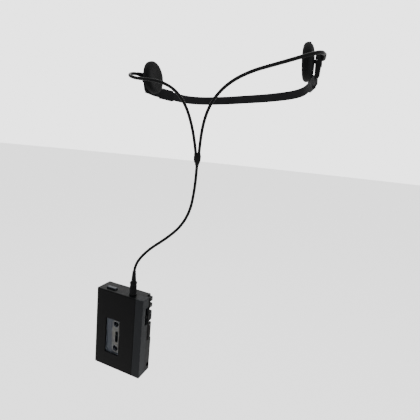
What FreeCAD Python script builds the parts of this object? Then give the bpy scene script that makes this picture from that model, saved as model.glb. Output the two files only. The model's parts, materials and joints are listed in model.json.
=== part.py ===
"""Pocket cassette player with its plugged-in headphones: one STEP file per piece.

Millimetres, +Z up. The origin is the centre of the player's flat back face, which faces +Y;
+X is the player's right-hand side, with the keys, and the cassette door faces -Y.
"""
import FreeCAD
import Part
import math
import os

Vec = FreeCAD.Vector

# ---- player: overall sizes ----
WIDTH = 88.0
HEIGHT = 133.5
DEPTH = 29.0
WALL = 2.0
SEAM_DEPTH = 14.7          # front shells end here, the rear case starts
STRIP_WIDTH = 14.0         # lighter control cover along the right-hand edge
EDGE = 0.5                 # small bevel on outer edges
FIT = 0.15                 # gap round a piece that slides or swings
RUN = 0.05                 # radial gap of a running fit
LEFT, RIGHT = -WIDTH / 2, WIDTH / 2
FRONT, BACK = -DEPTH, 0.0
BOTTOM, TOP = -HEIGHT / 2, HEIGHT / 2
SEAM = FRONT + SEAM_DEPTH
STRIP_X = RIGHT - STRIP_WIDTH

# ---- key recess in the rear right-hand corner ----
RECESS = 5.5
RECESS_Y = FRONT + 17.0
RECESS_LENGTH = 75.5
RECESS_Z = TOP - RECESS_LENGTH
KEY_X = RIGHT - RECESS     # the recess wall, outside
KEY_DEPTH = (RECESS_Y + 1.2, BACK - 2.4)
KEY_PROUD = 0.8
KEY_INNER = KEY_X - 4.3
KEYS = {                   # name: lower and upper end, down from the top
    "fast_forward_key": (9.4, WALL + 0.2),
    "rewind_key": (20.0, 13.2),
    "play_key": (42.4, 26.6),
    "stop_key": (73.4, 46.4),
}

SCREW_IN = (5.2, 5.2)      # case screws, from the sides and from the top and bottom
SCREW_R = 1.0
SCREW_HEAD_R = 2.0
POST_R = 3.0

# ---- door ----
DOOR_THICK = 2.0
DOOR_RIM = 1.2             # case rim left above and below the door
HINGE_IN = 1.0             # hinge axis from the door's two outer faces
PIN_R = 0.45
PIN_LENGTH = 6.0
PIN_COVER = 0.3            # rim left over the end of each hinge pin
WINDOW_X = (19.5, 46.0)    # from the left-hand side
WINDOW_Z = (25.2, 86.0)    # from the bottom
GLAZING = 1.0

# ---- cassette ----
CASSETTE = (63.8, 100.4)
CASSETTE_THIN, CASSETTE_THICK = 8.7, 12.0
CASSETTE_LEFT = LEFT + 4.6
CASSETTE_Z = BOTTOM + 55.5
CASSETTE_Y = FRONT + DOOR_THICK + 0.35 + CASSETTE_THICK / 2
CASSETTE_RIGHT = CASSETTE_LEFT + CASSETTE[0]
SHELL = 1.5
HEAD_BULGE = 16.0          # width of the thick band beside the tape edge
BULGE_HALF = 39.0          # half its length
HUB_SPACING = 42.5
HUB_X = CASSETTE_LEFT + 32.6
HUB_HOLE_R = 5.0
HUB_R = 10.8
TAPE_R = 19.0
CAPSTAN_X = CASSETTE_RIGHT - 8.4
CAPSTAN_HOLE_R = 3.2
PINCH_SPAN = 30.0          # capstan and pinch roller, below the cassette's centre
MOUTH = 4.3                # half height of the openings in the tape edge
ROLLER_MOUTH = 8.5         # half length of each roller opening
HEAD_MOUTH = 11.0
SLOT_NEAR, SLOT_FAR = 0.7, 4.6   # sight slot between the hubs, each side of their line
SLOT_HALF = 9.6
LABEL_X = (6.8, 7.3)       # label strip, each side of the hubs' line
LABEL_THICK = 0.3
LABEL_RIM = 0.7            # label past the hub holes, at each end
TAPE_WIDTH = 3.8

# ---- mechanism ----
PLATE_Y = (FRONT + 15.0, FRONT + 16.0)
CAPSTAN_R = 1.0
FLYWHEEL_R = 17.5
FLYWHEEL_GROOVE = 16.4
FLYWHEEL_Y = (FRONT + 21.0, BACK - 2.4)
BELT = 0.8
BELT_Y = BACK - 3.4
MOTOR_X, MOTOR_Z = LEFT + 16.0, BOTTOM + 16.0
MOTOR_R = 11.0
MOTOR_SHAFT_R = 0.75
PULLEY_GROOVE = 2.6
WHEEL_R = 9.0              # friction wheel on each reel spindle
WHEEL_Y = (FRONT + 16.6, FRONT + 18.0)
CAPSTAN_WHEEL_R = 4.0
FRICTION_GAP = 0.1
SPINDLE_R = 2.3
HEAD_TRAVEL = 4.5
PINCH_R = 5.0
PINCH_POST_R = 1.2
AXLE_R = 1.0               # idler's and pinch roller's axles
PINCH_ARM = 19.3
PINCH_PIVOT = (RIGHT - 8.0, CASSETTE_Z - 43.5)
PINCH_REST = 108.0         # arm's angle from +X at rest, degrees

# ---- power and electronics ----
CELL_R, CELL_LENGTH = 7.1, 50.5
CELL_X = LEFT + 20.5
CELL_Y = BACK - 1.8 - CELL_R
CELL_TOP_Z = TOP - WALL - 0.3 - CELL_R
CELL_PITCH = 2 * CELL_R + 0.2
LID_THICK = 1.6
LID_ROLL = LID_THICK / 2
BOARD_Y = (FRONT + 4.6, FRONT + 5.8)
JACK_BORE = 1.85
JACK_WALL = 0.7
JACK_DEPTH = 16.0
PLUG_LENGTH = 14.0
PLUG_SHAFT_R = 1.75
SOCKET_Z = BOTTOM + 11.0
SOCKET_Y = FRONT + 24.0
SOCKET_R = 2.5
SLOT_Y = (FRONT + 8.4, FRONT + 13.9)
SLOT_Z = (TOP - 45.5, TOP - 16.5)
SLIDER = (2.4, 5.0)        # knob across and along the slot
RIB = 1.5                  # raised rib beside the slot
BUTTON_X = (LEFT + 13.5, LEFT + 30.5)
BUTTON_Y = (FRONT + 6.1, FRONT + 12.0)
BUTTON_PROUD = 2.6

# ---- plug and cord ----
PLUG_R = 5.9
PLUG_TOP_R = 5.2
PLUG_BODY = 21.5
COLLAR = 2.0
CORD_R = 2.2
MAIN_ROUTE = [
    (18.0, -19.6, 105.0), (18.4, -19.3, 113.0), (23.5, -16.5, 126.5), (36.0, -11.0, 144.0),
    (57.0, -5.0, 162.5), (77.5, 0.5, 184.0), (88.5, 6.0, 209.5), (92.6, 9.5, 238.0),
    (93.4, 12.2, 262.0), (92.4, 13.6, 279.5),
]
LEFT_ROUTE = [
    (89.2, 14.0, 292.0), (86.6, 10.6, 312.0), (80.5, 6.0, 338.0), (71.5, 2.0, 360.0),
    (58.5, -4.0, 377.0), (42.5, -12.5, 385.5), (25.0, -20.0, 387.5), (7.5, -25.0, 387.5),
    (-6.5, -23.0, 391.0), (-14.5, -12.0, 397.0), (-13.3, -1.0, 400.6), (-9.4, 7.2, 400.9),
]
RIGHT_ROUTE = [
    (93.8, 14.0, 292.0), (96.5, 8.5, 314.0), (102.0, 1.5, 337.5), (110.5, -3.0, 359.0),
    (124.0, -5.5, 377.0), (143.0, -9.0, 390.5), (168.0, -14.5, 399.5), (193.0, -20.0, 404.0),
    (214.0, -24.0, 408.0), (231.5, -23.5, 413.0), (242.5, -14.5, 418.5), (247.0, -2.5, 421.0),
    (245.6, 7.2, 421.0),
]
SPLITTER = (11.0, 6.6)     # width and thickness
JACK_X, JACK_Y = MAIN_ROUTE[0][:2]

# ---- headset, in its own level frame between the ears ----
HEAD_CENTRE = Vec(117.8, 14.4, 407.6)
HEAD_TILT = 4.7            # the right-hand ear is higher
PAD_R = 22.5
PAD_FACE = 104.4           # inner face of each ear pad
PAD_THICK = 7.0
CUP_BACK = 117.6
CUP_R = 21.5
CUP_DOME = 38.0            # radius of the cup's domed back
ARM_IN = 119.2             # inner face of the hanger
ARM_THICK = 3.0
PIVOT_X = 121.0
PIVOT_PIN_R = 0.8
KNUCKLE_R = 2.6
KNUCKLE = 3.0              # its width along the pin
BOSS_R = 7.0
BOSS_OUT = 126.6
GLAND = 7.0
CORD_GAP = 0.2             # between each ear cord's end and its gland
BAND_DROP = 15.0           # band below the ear centres
BAND_HEIGHT = 13.0
BAND_THICK = 2.2
TONGUE_END = (113.3, 42.5)  # straight end of the band, inside the slider
TONGUE_ROOT = (105.0, 68.0)
BAND_POINTS = [(92.0, 91.0), (69.0, 104.5), (38.0, 110.6)]
BAND_BACK = 111.6
TONGUE_SHORT = 13.0        # room past the band's end inside the sleeve
SLEEVE_LENGTH = 27.0
SLEEVE_WALL = 1.2
SLEEVE_HEIGHT = 16.0
STRAP_HALF = 4.5           # half width of the hanger's upright arm
DRIVER_R = 16.0


def block(x0, x1, y0, y1, z0, z1):
    """A box between three pairs of coordinates."""
    return Part.makeBox(x1 - x0, y1 - y0, z1 - z0, Vec(x0, y0, z0))


def rod(x, y, z, radius, length, axis="z"):
    """A cylinder from a point along +X, +Y or +Z."""
    direction = {"x": Vec(1, 0, 0), "y": Vec(0, 1, 0), "z": Vec(0, 0, 1)}[axis]
    return Part.makeCylinder(radius, length, Vec(x, y, z), direction)


def ring(x, y, z, outer, inner, length, axis="y"):
    """A tube from a point along an axis."""
    bore = rod(x, y, z, inner, length, axis)
    return rod(x, y, z, outer, length, axis).cut(bore)


def bevelled(shape, size, where):
    """Chamfer the straight edges whose middle passes the test."""
    edges = []
    for edge in shape.Edges:
        middle = edge.valueAt((edge.FirstParameter + edge.LastParameter) / 2)
        if edge.Curve.TypeId == "Part::GeomLine" and where(middle):
            edges.append(edge)
    return shape.makeChamfer(size, edges) if edges else shape


def near(a, b):
    """Whether two coordinates are the same."""
    return abs(a - b) < 0.01


def loop_solid(points, y0, y1):
    """A prism along Y over a closed outline of (x, z) points."""
    corners = [Vec(x, y0, z) for x, z in points]
    wire = Part.makePolygon(corners + corners[:1])
    return Part.Face(wire).extrude(Vec(0, y1 - y0, 0))


def export(shapes):
    """Write each node's shape to parts/."""
    os.makedirs("parts", exist_ok=True)
    for name, shape in shapes.items():
        shape.exportStep("parts/%s.step" % name)


# ---------------------------------------------------------------- case ----
def recess(grow):
    """The corner cut that the keys stand in, grown by a wall where it faces inwards."""
    return block(KEY_X - grow, RIGHT + 1, RECESS_Y - grow, BACK + 1, RECESS_Z - grow, TOP + 1)


def outer_edge(p):
    """Whether a point lies on two outer faces of the player at once."""
    faces = [near(abs(p.x), RIGHT), near(p.y, FRONT) or near(p.y, BACK), near(abs(p.z), TOP)]
    return sum(faces) >= 2


def lid_box(grow=0.0):
    """The battery lid's outline in the back wall."""
    x1 = CELL_X + CELL_LENGTH + 1.6
    z0 = CELL_TOP_Z - CELL_PITCH - CELL_R + 1.5
    z1 = TOP - WALL - 0.6
    return (CELL_X - 1.6 - grow, x1 + grow, z0 - grow, z1 + grow)


def screw_places():
    """The four case screws, in the back."""
    x, z = SCREW_IN
    return [(LEFT + x, BOTTOM + z), (RIGHT - x, BOTTOM + z), (LEFT + x, TOP - z),
            (LEFT + x, BOTTOM + HEIGHT / 2)]


def rear_case():
    body = block(LEFT, RIGHT, SEAM, BACK, BOTTOM, TOP)
    body = bevelled(body, EDGE, outer_edge)
    body = body.cut(recess(0.0))
    inside = block(LEFT + WALL, RIGHT - WALL, SEAM - 1, BACK - WALL, BOTTOM + WALL, TOP - WALL)
    body = body.cut(inside.cut(recess(WALL)))
    rib = block(RIGHT - WALL, RIGHT + RIB, SEAM, RECESS_Y, SLOT_Z[0], SLOT_Z[1])
    body = body.fuse(bevelled(rib, EDGE, lambda p: near(p.x, RIGHT + RIB)))
    for low, high in KEYS.values():
        body = body.cut(block(KEY_X - WALL - 1, KEY_X + 1, KEY_DEPTH[0] - FIT, KEY_DEPTH[1] + FIT,
                              TOP - low - FIT, TOP - high + FIT))
    body = body.cut(rod(RIGHT - WALL - 1, SOCKET_Y, SOCKET_Z, SOCKET_R + RUN, WALL + 2, "x"))
    x0, x1, z0, z1 = lid_box(FIT)
    body = body.cut(block(x0, x1, BACK - WALL - 1, BACK + 1, z0, z1))
    axis = lid_axis()
    body = body.cut(rod(x0 - 1.2, axis[0], axis[1], PIN_R + RUN, x1 - x0 + 2.4, "x"))
    for x, z in screw_places():
        post = rod(x, SEAM + 0.2, z, POST_R, BACK - WALL - SEAM - 0.1, "y")
        body = body.fuse(post)
        body = body.cut(rod(x, SEAM - 1, z, SCREW_R + RUN, DEPTH, "y"))
        body = body.cut(rod(x, BACK - 1.2, z, SCREW_HEAD_R + 0.2, 2, "y"))
    return body.removeSplitter()


def front_case():
    body = block(LEFT, STRIP_X, FRONT, SEAM, BOTTOM, TOP)
    body = bevelled(body, EDGE, outer_edge)
    inside = block(LEFT + WALL, STRIP_X + 1, FRONT - 1, SEAM + 1, BOTTOM + WALL, TOP - WALL)
    body = body.cut(inside)
    gap = DOOR_THICK + FIT
    body = body.cut(block(LEFT - 1, STRIP_X + 1, FRONT - 1, FRONT + gap,
                          BOTTOM + DOOR_RIM, TOP - DOOR_RIM))
    swing = math.hypot(HINGE_IN, HINGE_IN) + FIT
    axis = (LEFT + HINGE_IN, FRONT + HINGE_IN)
    body = body.cut(rod(axis[0], axis[1], BOTTOM + DOOR_RIM, swing, HEIGHT - 2 * DOOR_RIM))
    bulkhead_z = CASSETTE_Z + CASSETTE[1] / 2 + 3.0
    bulkhead = block(LEFT + WALL, STRIP_X, FRONT + gap, FRONT + gap + 1.2, bulkhead_z, TOP - WALL)
    body = body.fuse(bulkhead)
    body = body.cut(block(BUTTON_X[0] - FIT, BUTTON_X[1] + FIT, BUTTON_Y[0] - FIT,
                          BUTTON_Y[1] + FIT, TOP - WALL - 1, TOP + 1))
    body = body.cut(rod(JACK_X, JACK_Y, TOP - WALL - 1, JACK_BORE + JACK_WALL, WALL + 2))
    body = body.cut(rod(axis[0], axis[1], BOTTOM + PIN_COVER, PIN_R, DOOR_RIM))
    body = body.cut(rod(axis[0], axis[1], TOP - PIN_COVER - DOOR_RIM, PIN_R, DOOR_RIM))
    return body.removeSplitter()


def control_cover():
    body = block(STRIP_X, RIGHT, FRONT, SEAM, BOTTOM, TOP)
    body = bevelled(body, EDGE, outer_edge)
    inside = block(STRIP_X - 1, RIGHT - WALL, FRONT + WALL, SEAM + 1, BOTTOM + WALL, TOP - WALL)
    body = body.cut(inside)
    body = body.cut(block(RIGHT - WALL - 1, RIGHT + 1, SLOT_Y[0], SLOT_Y[1], SLOT_Z[0], SLOT_Z[1]))
    return body


def case_screws():
    """Four pan-head screws from the back."""
    screws = []
    for x, z in screw_places():
        head = rod(x, BACK - 1.2, z, SCREW_HEAD_R, 1.0, "y")
        shank = rod(x, SEAM + 0.4, z, SCREW_R, BACK - 1.2 - SEAM - 0.4, "y")
        slot = block(x - 2.2, x + 2.2, BACK - 0.7, BACK + 1, z - 0.3, z + 0.3)
        screws.append(head.fuse(shank).cut(slot))
    return Part.makeCompound(screws)


def lid_axis():
    """The battery lid's hinge line: its y and z."""
    return BACK - LID_ROLL, lid_box()[3] - LID_ROLL


def battery_lid():
    x0, x1, z0, z1 = lid_box()
    y, z = lid_axis()
    lid = block(x0, x1, BACK - LID_THICK, BACK, z0, z)
    lid = lid.fuse(rod(x0, y, z, LID_ROLL, x1 - x0, "x"))
    lid = lid.fuse(rod(x0 - 1.0, y, z, PIN_R, x1 - x0 + 2.0, "x"))
    grip = block((x0 + x1) / 2 - 6, (x0 + x1) / 2 + 6, BACK - 0.5, BACK + 1, z0 + 2.0, z0 + 3.4)
    return lid.cut(grip).removeSplitter()


# ---------------------------------------------------------------- door ----
def hinge_axis():
    """The door's hinge line: its x and y."""
    return LEFT + HINGE_IN, FRONT + HINGE_IN


def window_box(grow=0.0):
    return (LEFT + WINDOW_X[0] - grow, LEFT + WINDOW_X[1] + grow,
            BOTTOM + WINDOW_Z[0] - grow, BOTTOM + WINDOW_Z[1] + grow)


def door_panel():
    z0, z1 = BOTTOM + DOOR_RIM + FIT, TOP - DOOR_RIM - FIT
    body = block(LEFT, STRIP_X - FIT, FRONT, FRONT + DOOR_THICK, z0, z1)
    body = bevelled(body, EDGE, lambda p: near(p.y, FRONT) and near(p.x, LEFT))
    x0, x1, wz0, wz1 = window_box()
    body = body.cut(block(x0, x1, FRONT - 1, FRONT + DOOR_THICK + 1, wz0, wz1))
    x, y = hinge_axis()
    body = body.cut(rod(x, y, z0 - 1, PIN_R + RUN, PIN_LENGTH + 1))
    body = body.cut(rod(x, y, z1 - PIN_LENGTH, PIN_R + RUN, PIN_LENGTH + 1))
    return body


def door_window():
    x0, x1, z0, z1 = window_box()
    y = FRONT + 0.5
    return block(x0, x1, y, y + GLAZING, z0, z1)


def door_hinge_pins():
    x, y = hinge_axis()
    low = rod(x, y, BOTTOM + PIN_COVER, PIN_R, PIN_LENGTH)
    high = rod(x, y, TOP - PIN_COVER - PIN_LENGTH, PIN_R, PIN_LENGTH)
    return Part.makeCompound([low, high])


def cassette_guides():
    """Two channels on the door's inner face that hold the cassette's ends."""
    parts = []
    y0 = FRONT + DOOR_THICK
    y1 = CASSETTE_Y + CASSETTE_THIN / 2 + 0.9
    x0, x1 = CASSETTE_LEFT + 4, CASSETTE_LEFT + 44
    near_cell = rod(x0 - 1, CELL_Y, CELL_TOP_Z - CELL_PITCH, CELL_R + 2 * FIT, x1 - x0 + 2, "x")
    for side in (-1, 1):
        edge = CASSETTE_Z + side * (CASSETTE[1] / 2 + 0.1)
        z = sorted([edge, edge + side * 1.0])
        wall = block(x0, x1, y0, y1, z[0], z[1])
        z = sorted([edge + side * 0.5, edge - side * 3.0])
        lip = block(x0, x1, y1 - 0.8, y1, z[0], z[1])
        step = block(x0, x1, y0, CASSETTE_Y - CASSETTE_THIN / 2 - 0.1, z[0], z[1])
        parts.append(wall.fuse(lip).fuse(step).cut(near_cell).removeSplitter())
    return Part.makeCompound(parts)


# ------------------------------------------------------------ cassette ----
def cassette_outer(inset):
    """The cassette's outside, or its inside when inset by the wall."""
    w, h = CASSETTE
    x0, x1 = CASSETTE_LEFT + inset, CASSETTE_RIGHT - inset
    thin, thick = CASSETTE_THIN / 2 - inset, CASSETTE_THICK / 2 - inset
    z0, z1 = CASSETTE_Z - h / 2 + inset, CASSETTE_Z + h / 2 - inset
    body = block(x0, x1, CASSETTE_Y - thin, CASSETTE_Y + thin, z0, z1)
    far, near_z = BULGE_HALF - inset, BULGE_HALF - 3.0 - inset
    bulge = [(x1, CASSETTE_Z - far), (x1, CASSETTE_Z + far),
             (CASSETTE_RIGHT - HEAD_BULGE + inset, CASSETTE_Z + near_z),
             (CASSETTE_RIGHT - HEAD_BULGE + inset, CASSETTE_Z - near_z)]
    return body.fuse(loop_solid(bulge, CASSETTE_Y - thick, CASSETTE_Y + thick))


def hub_places():
    return {"supply": CASSETTE_Z + HUB_SPACING / 2, "take_up": CASSETTE_Z - HUB_SPACING / 2}


def cassette_shell():
    body = cassette_outer(0.0)
    body = bevelled(body, 0.8, lambda p: near(p.x, CASSETTE_LEFT)
                    or near(abs(p.z - CASSETTE_Z), CASSETTE[1] / 2))
    body = body.cut(cassette_outer(SHELL))
    y = CASSETTE_Y - CASSETTE_THICK
    for z in hub_places().values():
        body = body.cut(rod(HUB_X, y, z, HUB_HOLE_R, 2 * CASSETTE_THICK, "y"))
    body = body.cut(block(HUB_X - SLOT_FAR, HUB_X + SLOT_NEAR, y, y + 2 * CASSETTE_THICK,
                          CASSETTE_Z - SLOT_HALF, CASSETTE_Z + SLOT_HALF))
    for side in (-1, 1):
        z = CASSETTE_Z + side * PINCH_SPAN
        body = body.cut(rod(CAPSTAN_X, y, z, CAPSTAN_HOLE_R, 2 * CASSETTE_THICK, "y"))
        body = body.cut(block(CASSETTE_RIGHT - 2, CASSETTE_RIGHT + 1, CASSETTE_Y - MOUTH,
                              CASSETTE_Y + MOUTH, z - ROLLER_MOUTH, z + ROLLER_MOUTH))
    body = body.cut(block(CASSETTE_RIGHT - 2, CASSETTE_RIGHT + 1, CASSETTE_Y - MOUTH,
                          CASSETTE_Y + MOUTH, CASSETTE_Z - HEAD_MOUTH, CASSETTE_Z + HEAD_MOUTH))
    return body


def cassette_half(front):
    big = 200.0
    y = (CASSETTE_Y - big, CASSETTE_Y) if front else (CASSETTE_Y, CASSETTE_Y + big)
    return cassette_shell().common(block(-big, big, y[0], y[1], -big, big))


def cassette_label():
    """The printed strip on the front half, round the hub holes and the slot."""
    y = CASSETTE_Y - CASSETTE_THIN / 2
    x0, x1 = HUB_X - LABEL_X[0], HUB_X + LABEL_X[1]
    half = HUB_SPACING / 2 + HUB_HOLE_R + LABEL_RIM
    strip = block(x0, x1, y - LABEL_THICK, y, CASSETTE_Z - half, CASSETTE_Z + half)
    strip = strip.makeFillet(5.5, [e for e in strip.Edges if near(e.Length, LABEL_THICK)])
    for z in hub_places().values():
        strip = strip.cut(rod(HUB_X, y - 1, z, HUB_HOLE_R, 2, "y"))
    return strip.cut(block(HUB_X - SLOT_FAR, HUB_X + SLOT_NEAR, y - 1, y + 1,
                           CASSETTE_Z - SLOT_HALF, CASSETTE_Z + SLOT_HALF))


def reel(z):
    """A toothed hub with its wound tape."""
    half = CASSETTE_THIN / 2 - SHELL - 0.2
    hub = ring(HUB_X, CASSETTE_Y - half, z, HUB_R, HUB_HOLE_R - 0.1, 2 * half)
    for i in range(6):
        tooth = block(3.4, HUB_HOLE_R + 0.4, -half, half, -0.7, 0.7)
        tooth.Placement = FreeCAD.Placement(Vec(HUB_X, CASSETTE_Y, z),
                                            FreeCAD.Rotation(Vec(0, 1, 0), 60 * i))
        hub = hub.fuse(tooth)
    tape = ring(HUB_X, CASSETTE_Y - TAPE_WIDTH / 2, z, TAPE_R, HUB_R, TAPE_WIDTH)
    return Part.makeCompound([hub.removeSplitter(), tape])


def tape_guides():
    """Guide rollers in the tape-side corners and the pressure pad behind the head."""
    half = CASSETTE_THIN / 2 - SHELL
    parts = []
    for side in (-1, 1):
        z = CASSETTE_Z + side * (CASSETTE[1] / 2 - 6.0)
        parts.append(rod(CASSETTE_RIGHT - 6.5, CASSETTE_Y - half, z, 3.0, 2 * half, "y"))
    thick = CASSETTE_THICK / 2 - SHELL
    spring = block(CASSETTE_RIGHT - 7.0, CASSETTE_RIGHT - 6.7, CASSETTE_Y - thick,
                   CASSETTE_Y + thick, CASSETTE_Z - 9, CASSETTE_Z + 9)
    pad = block(CASSETTE_RIGHT - 6.7, CASSETTE_RIGHT - 4.8, CASSETTE_Y - 2.2, CASSETTE_Y + 2.2,
                CASSETTE_Z - 3, CASSETTE_Z + 3)
    parts.append(spring.fuse(pad))
    return Part.makeCompound(parts)


# ----------------------------------------------------------- mechanism ----
def capstan_place():
    return CAPSTAN_X, CASSETTE_Z - PINCH_SPAN


def idler_place():
    """The idler's centre, between the capstan's wheel and the take-up wheel."""
    cx, cz = capstan_place()
    tz = hub_places()["take_up"]
    span = math.hypot(cx - HUB_X, cz - tz)
    radius = (span - CAPSTAN_WHEEL_R - WHEEL_R) / 2
    t = (CAPSTAN_WHEEL_R + radius) / span
    return cx + (HUB_X - cx) * t, cz + (tz - cz) * t, radius


def chassis_plate():
    y0, y1 = PLATE_Y
    top = CELL_TOP_Z - CELL_PITCH - CELL_R - 1.2
    body = block(LEFT + WALL + 0.3, RIGHT - WALL - 0.5, y0, y1, BOTTOM + WALL + 0.3, top)
    body = body.cut(recess(WALL + 0.3))
    cx, cz = capstan_place()
    body = body.fuse(rod(cx, y0 - 0.4, cz, 2.6, y1 - y0 + 0.8, "y"))
    body = body.cut(rod(cx, y0 - 2, cz, CAPSTAN_R + RUN, 6, "y"))
    for z in hub_places().values():
        body = body.cut(rod(HUB_X, y0 - 1, z, SPINDLE_R + RUN, 4, "y"))
    ix, iz, _ = idler_place()
    body = body.fuse(rod(ix, y1 - 0.5, iz, AXLE_R, 2.6, "y"))
    px, pz = PINCH_PIVOT
    body = body.fuse(rod(px, CASSETTE_Y + 1.5, pz, PINCH_POST_R, y1 - CASSETTE_Y - 1.5, "y"))
    for x, z in screw_places():
        body = body.cut(rod(x, y0 - 1, z, POST_R + 0.3, 4, "y"))
    for z in (CASSETTE_Z - 8, CASSETTE_Z + 8):
        body = body.cut(block(RIGHT - 15, RIGHT - 6, y0 - 1, y1 + 1, z - 1.2, z + 1.2))
    return body.removeSplitter()


def motor():
    body = rod(MOTOR_X, PLATE_Y[1], MOTOR_Z, MOTOR_R, BACK - 4.6 - PLATE_Y[1], "y")
    body = body.makeFillet(0.8, [e for e in body.Edges if near(e.Length, 2 * math.pi * MOTOR_R)])
    return body.cut(rod(MOTOR_X, BACK - 8, MOTOR_Z, MOTOR_SHAFT_R + RUN, 5, "y"))


def motor_pulley():
    y = BACK - 4.4
    body = rod(MOTOR_X, BACK - 7.4, MOTOR_Z, MOTOR_SHAFT_R, 3.4, "y")
    body = body.fuse(rod(MOTOR_X, y, MOTOR_Z, 3.4, 2.0, "y"))
    groove = ring(MOTOR_X, BELT_Y - 0.5, MOTOR_Z, 4.5, PULLEY_GROOVE, 1.0)
    return body.cut(groove)


def flywheel():
    cx, cz = capstan_place()
    y0, y1 = FLYWHEEL_Y
    body = rod(cx, y0, cz, FLYWHEEL_R, y1 - y0, "y")
    body = body.cut(ring(cx, y0 - 1, cz, FLYWHEEL_R - 3.5, 5.0, 3.2))
    body = body.cut(ring(cx, BELT_Y - 0.5, cz, FLYWHEEL_R + 1, FLYWHEEL_GROOVE, 1.0))
    body = body.fuse(rod(cx, WHEEL_Y[0], cz, CAPSTAN_WHEEL_R, WHEEL_Y[1] - WHEEL_Y[0], "y"))
    body = body.fuse(rod(cx, WHEEL_Y[1], cz, 3.0, y0 - WHEEL_Y[1] + 1, "y"))
    body = body.fuse(rod(cx, CASSETTE_Y - 3.0, cz, CAPSTAN_R, y0 - CASSETTE_Y + 3.0, "y"))
    return body.removeSplitter()


def belt_outline(first, second, thick):
    """The hull of two discs, as a prism of the belt's width."""
    (x1, z1, r1), (x2, z2, r2) = first, second
    y = BELT_Y - thick / 2
    span = math.hypot(x2 - x1, z2 - z1)
    along = math.atan2(z2 - z1, x2 - x1)
    lean = math.acos((r1 - r2) / span)
    corners = []
    for x, z, r, side in ((x1, z1, r1, 1), (x2, z2, r2, 1), (x2, z2, r2, -1), (x1, z1, r1, -1)):
        a = along + side * lean
        corners.append((x + r * math.cos(a), z + r * math.sin(a)))
    body = loop_solid(corners, y, y + thick)
    for x, z, r in (first, second):
        body = body.fuse(rod(x, y, z, r, thick, "y"))
    return body


def drive_belt():
    cx, cz = capstan_place()
    inner = [(MOTOR_X, MOTOR_Z, PULLEY_GROOVE + RUN), (cx, cz, FLYWHEEL_GROOVE + RUN)]
    outer = [(x, z, r + BELT) for x, z, r in inner]
    return belt_outline(outer[0], outer[1], BELT).cut(belt_outline(inner[0], inner[1], BELT))


def idler_wheel():
    x, z, radius = idler_place()
    y0, y1 = WHEEL_Y
    return ring(x, y0, z, radius - FRICTION_GAP, AXLE_R + RUN, y1 - y0)


def spindle(z):
    """A reel spindle: shaft with three wings, and its friction wheel behind the plate."""
    top = CASSETTE_Y - 2.8
    body = rod(HUB_X, top, z, SPINDLE_R, WHEEL_Y[1] - top, "y")
    for i in range(3):
        wing = block(0, 4.2, top, CASSETTE_Y + CASSETTE_THIN / 2 - 0.5, -0.5, 0.5)
        wing.rotate(Vec(0, 0, 0), Vec(0, 1, 0), 30 + 120 * i)
        wing.translate(Vec(HUB_X, 0, z))
        body = body.fuse(wing)
    flange_y = CASSETTE_Y + CASSETTE_THIN / 2 + 0.6
    body = body.fuse(rod(HUB_X, flange_y, z, 6.0, 1.4, "y"))
    body = body.fuse(rod(HUB_X, WHEEL_Y[0], z, WHEEL_R - FRICTION_GAP, WHEEL_Y[1] - WHEEL_Y[0], "y"))
    return body.removeSplitter()


def head_base():
    """The plate that carries the head towards the tape."""
    y1 = PLATE_Y[0] - 0.3
    x0, x1 = CASSETTE_RIGHT + HEAD_TRAVEL + 0.6, RIGHT - 4.6
    body = block(x0, x1, y1 - 1.0, y1, CASSETTE_Z - 20, CASSETTE_Z + 20)
    body = body.fuse(block(x0 + 1, x0 + 5.5, CASSETTE_Y + 2.8, y1 - 1.0,
                           CASSETTE_Z - 5, CASSETTE_Z + 5))
    return body.removeSplitter()


def playback_head():
    x0 = CASSETTE_RIGHT + 0.6
    y0, y1 = CASSETTE_Y - 2.8, CASSETTE_Y + 2.8
    body = block(x0, x0 + 9.5, y0, y1, CASSETTE_Z - 6.2, CASSETTE_Z + 6.2)
    nose = [e for e in body.Edges if near(e.Length, y1 - y0)
            and near(e.valueAt(e.FirstParameter).x, x0)]
    return body.makeFillet(3.0, nose)


def pinch_centre(angle=PINCH_REST):
    px, pz = PINCH_PIVOT
    a = math.radians(angle)
    return px + PINCH_ARM * math.cos(a), pz + PINCH_ARM * math.sin(a)


def pinch_arm():
    px, pz = PINCH_PIVOT
    rx, rz = pinch_centre()
    y0, y1 = CASSETTE_Y + 3.2, CASSETTE_Y + 4.0
    a = math.radians(PINCH_REST + 90)
    dx, dz = 2.2 * math.cos(a), 2.2 * math.sin(a)
    bar = loop_solid([(px + dx, pz + dz), (rx + dx, rz + dz), (rx - dx, rz - dz),
                      (px - dx, pz - dz)], y0, y1)
    body = bar.fuse(rod(px, y0, pz, 3.2, y1 - y0, "y"))
    body = body.fuse(rod(rx, y0, rz, 2.2, y1 - y0, "y"))
    body = body.cut(rod(px, y0 - 1, pz, PINCH_POST_R + RUN, 4, "y"))
    axle = rod(rx, CASSETTE_Y - 3.4, rz, AXLE_R, y1 - CASSETTE_Y + 3.4, "y")
    return body.fuse(axle).removeSplitter()


def pinch_roller():
    rx, rz = pinch_centre()
    return ring(rx, CASSETTE_Y - 3.0, rz, PINCH_R, AXLE_R + RUN, 6.0)


# ------------------------------------------------ power and electronics ----
def battery_cells():
    cells = []
    for z in (CELL_TOP_Z, CELL_TOP_Z - CELL_PITCH):
        can = rod(CELL_X, CELL_Y, z, CELL_R, CELL_LENGTH - 1.4, "x")
        nub = rod(CELL_X + CELL_LENGTH - 1.4, CELL_Y, z, 2.7, 1.4, "x")
        cells.append(can.fuse(nub).removeSplitter())
    return Part.makeCompound(cells)


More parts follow.
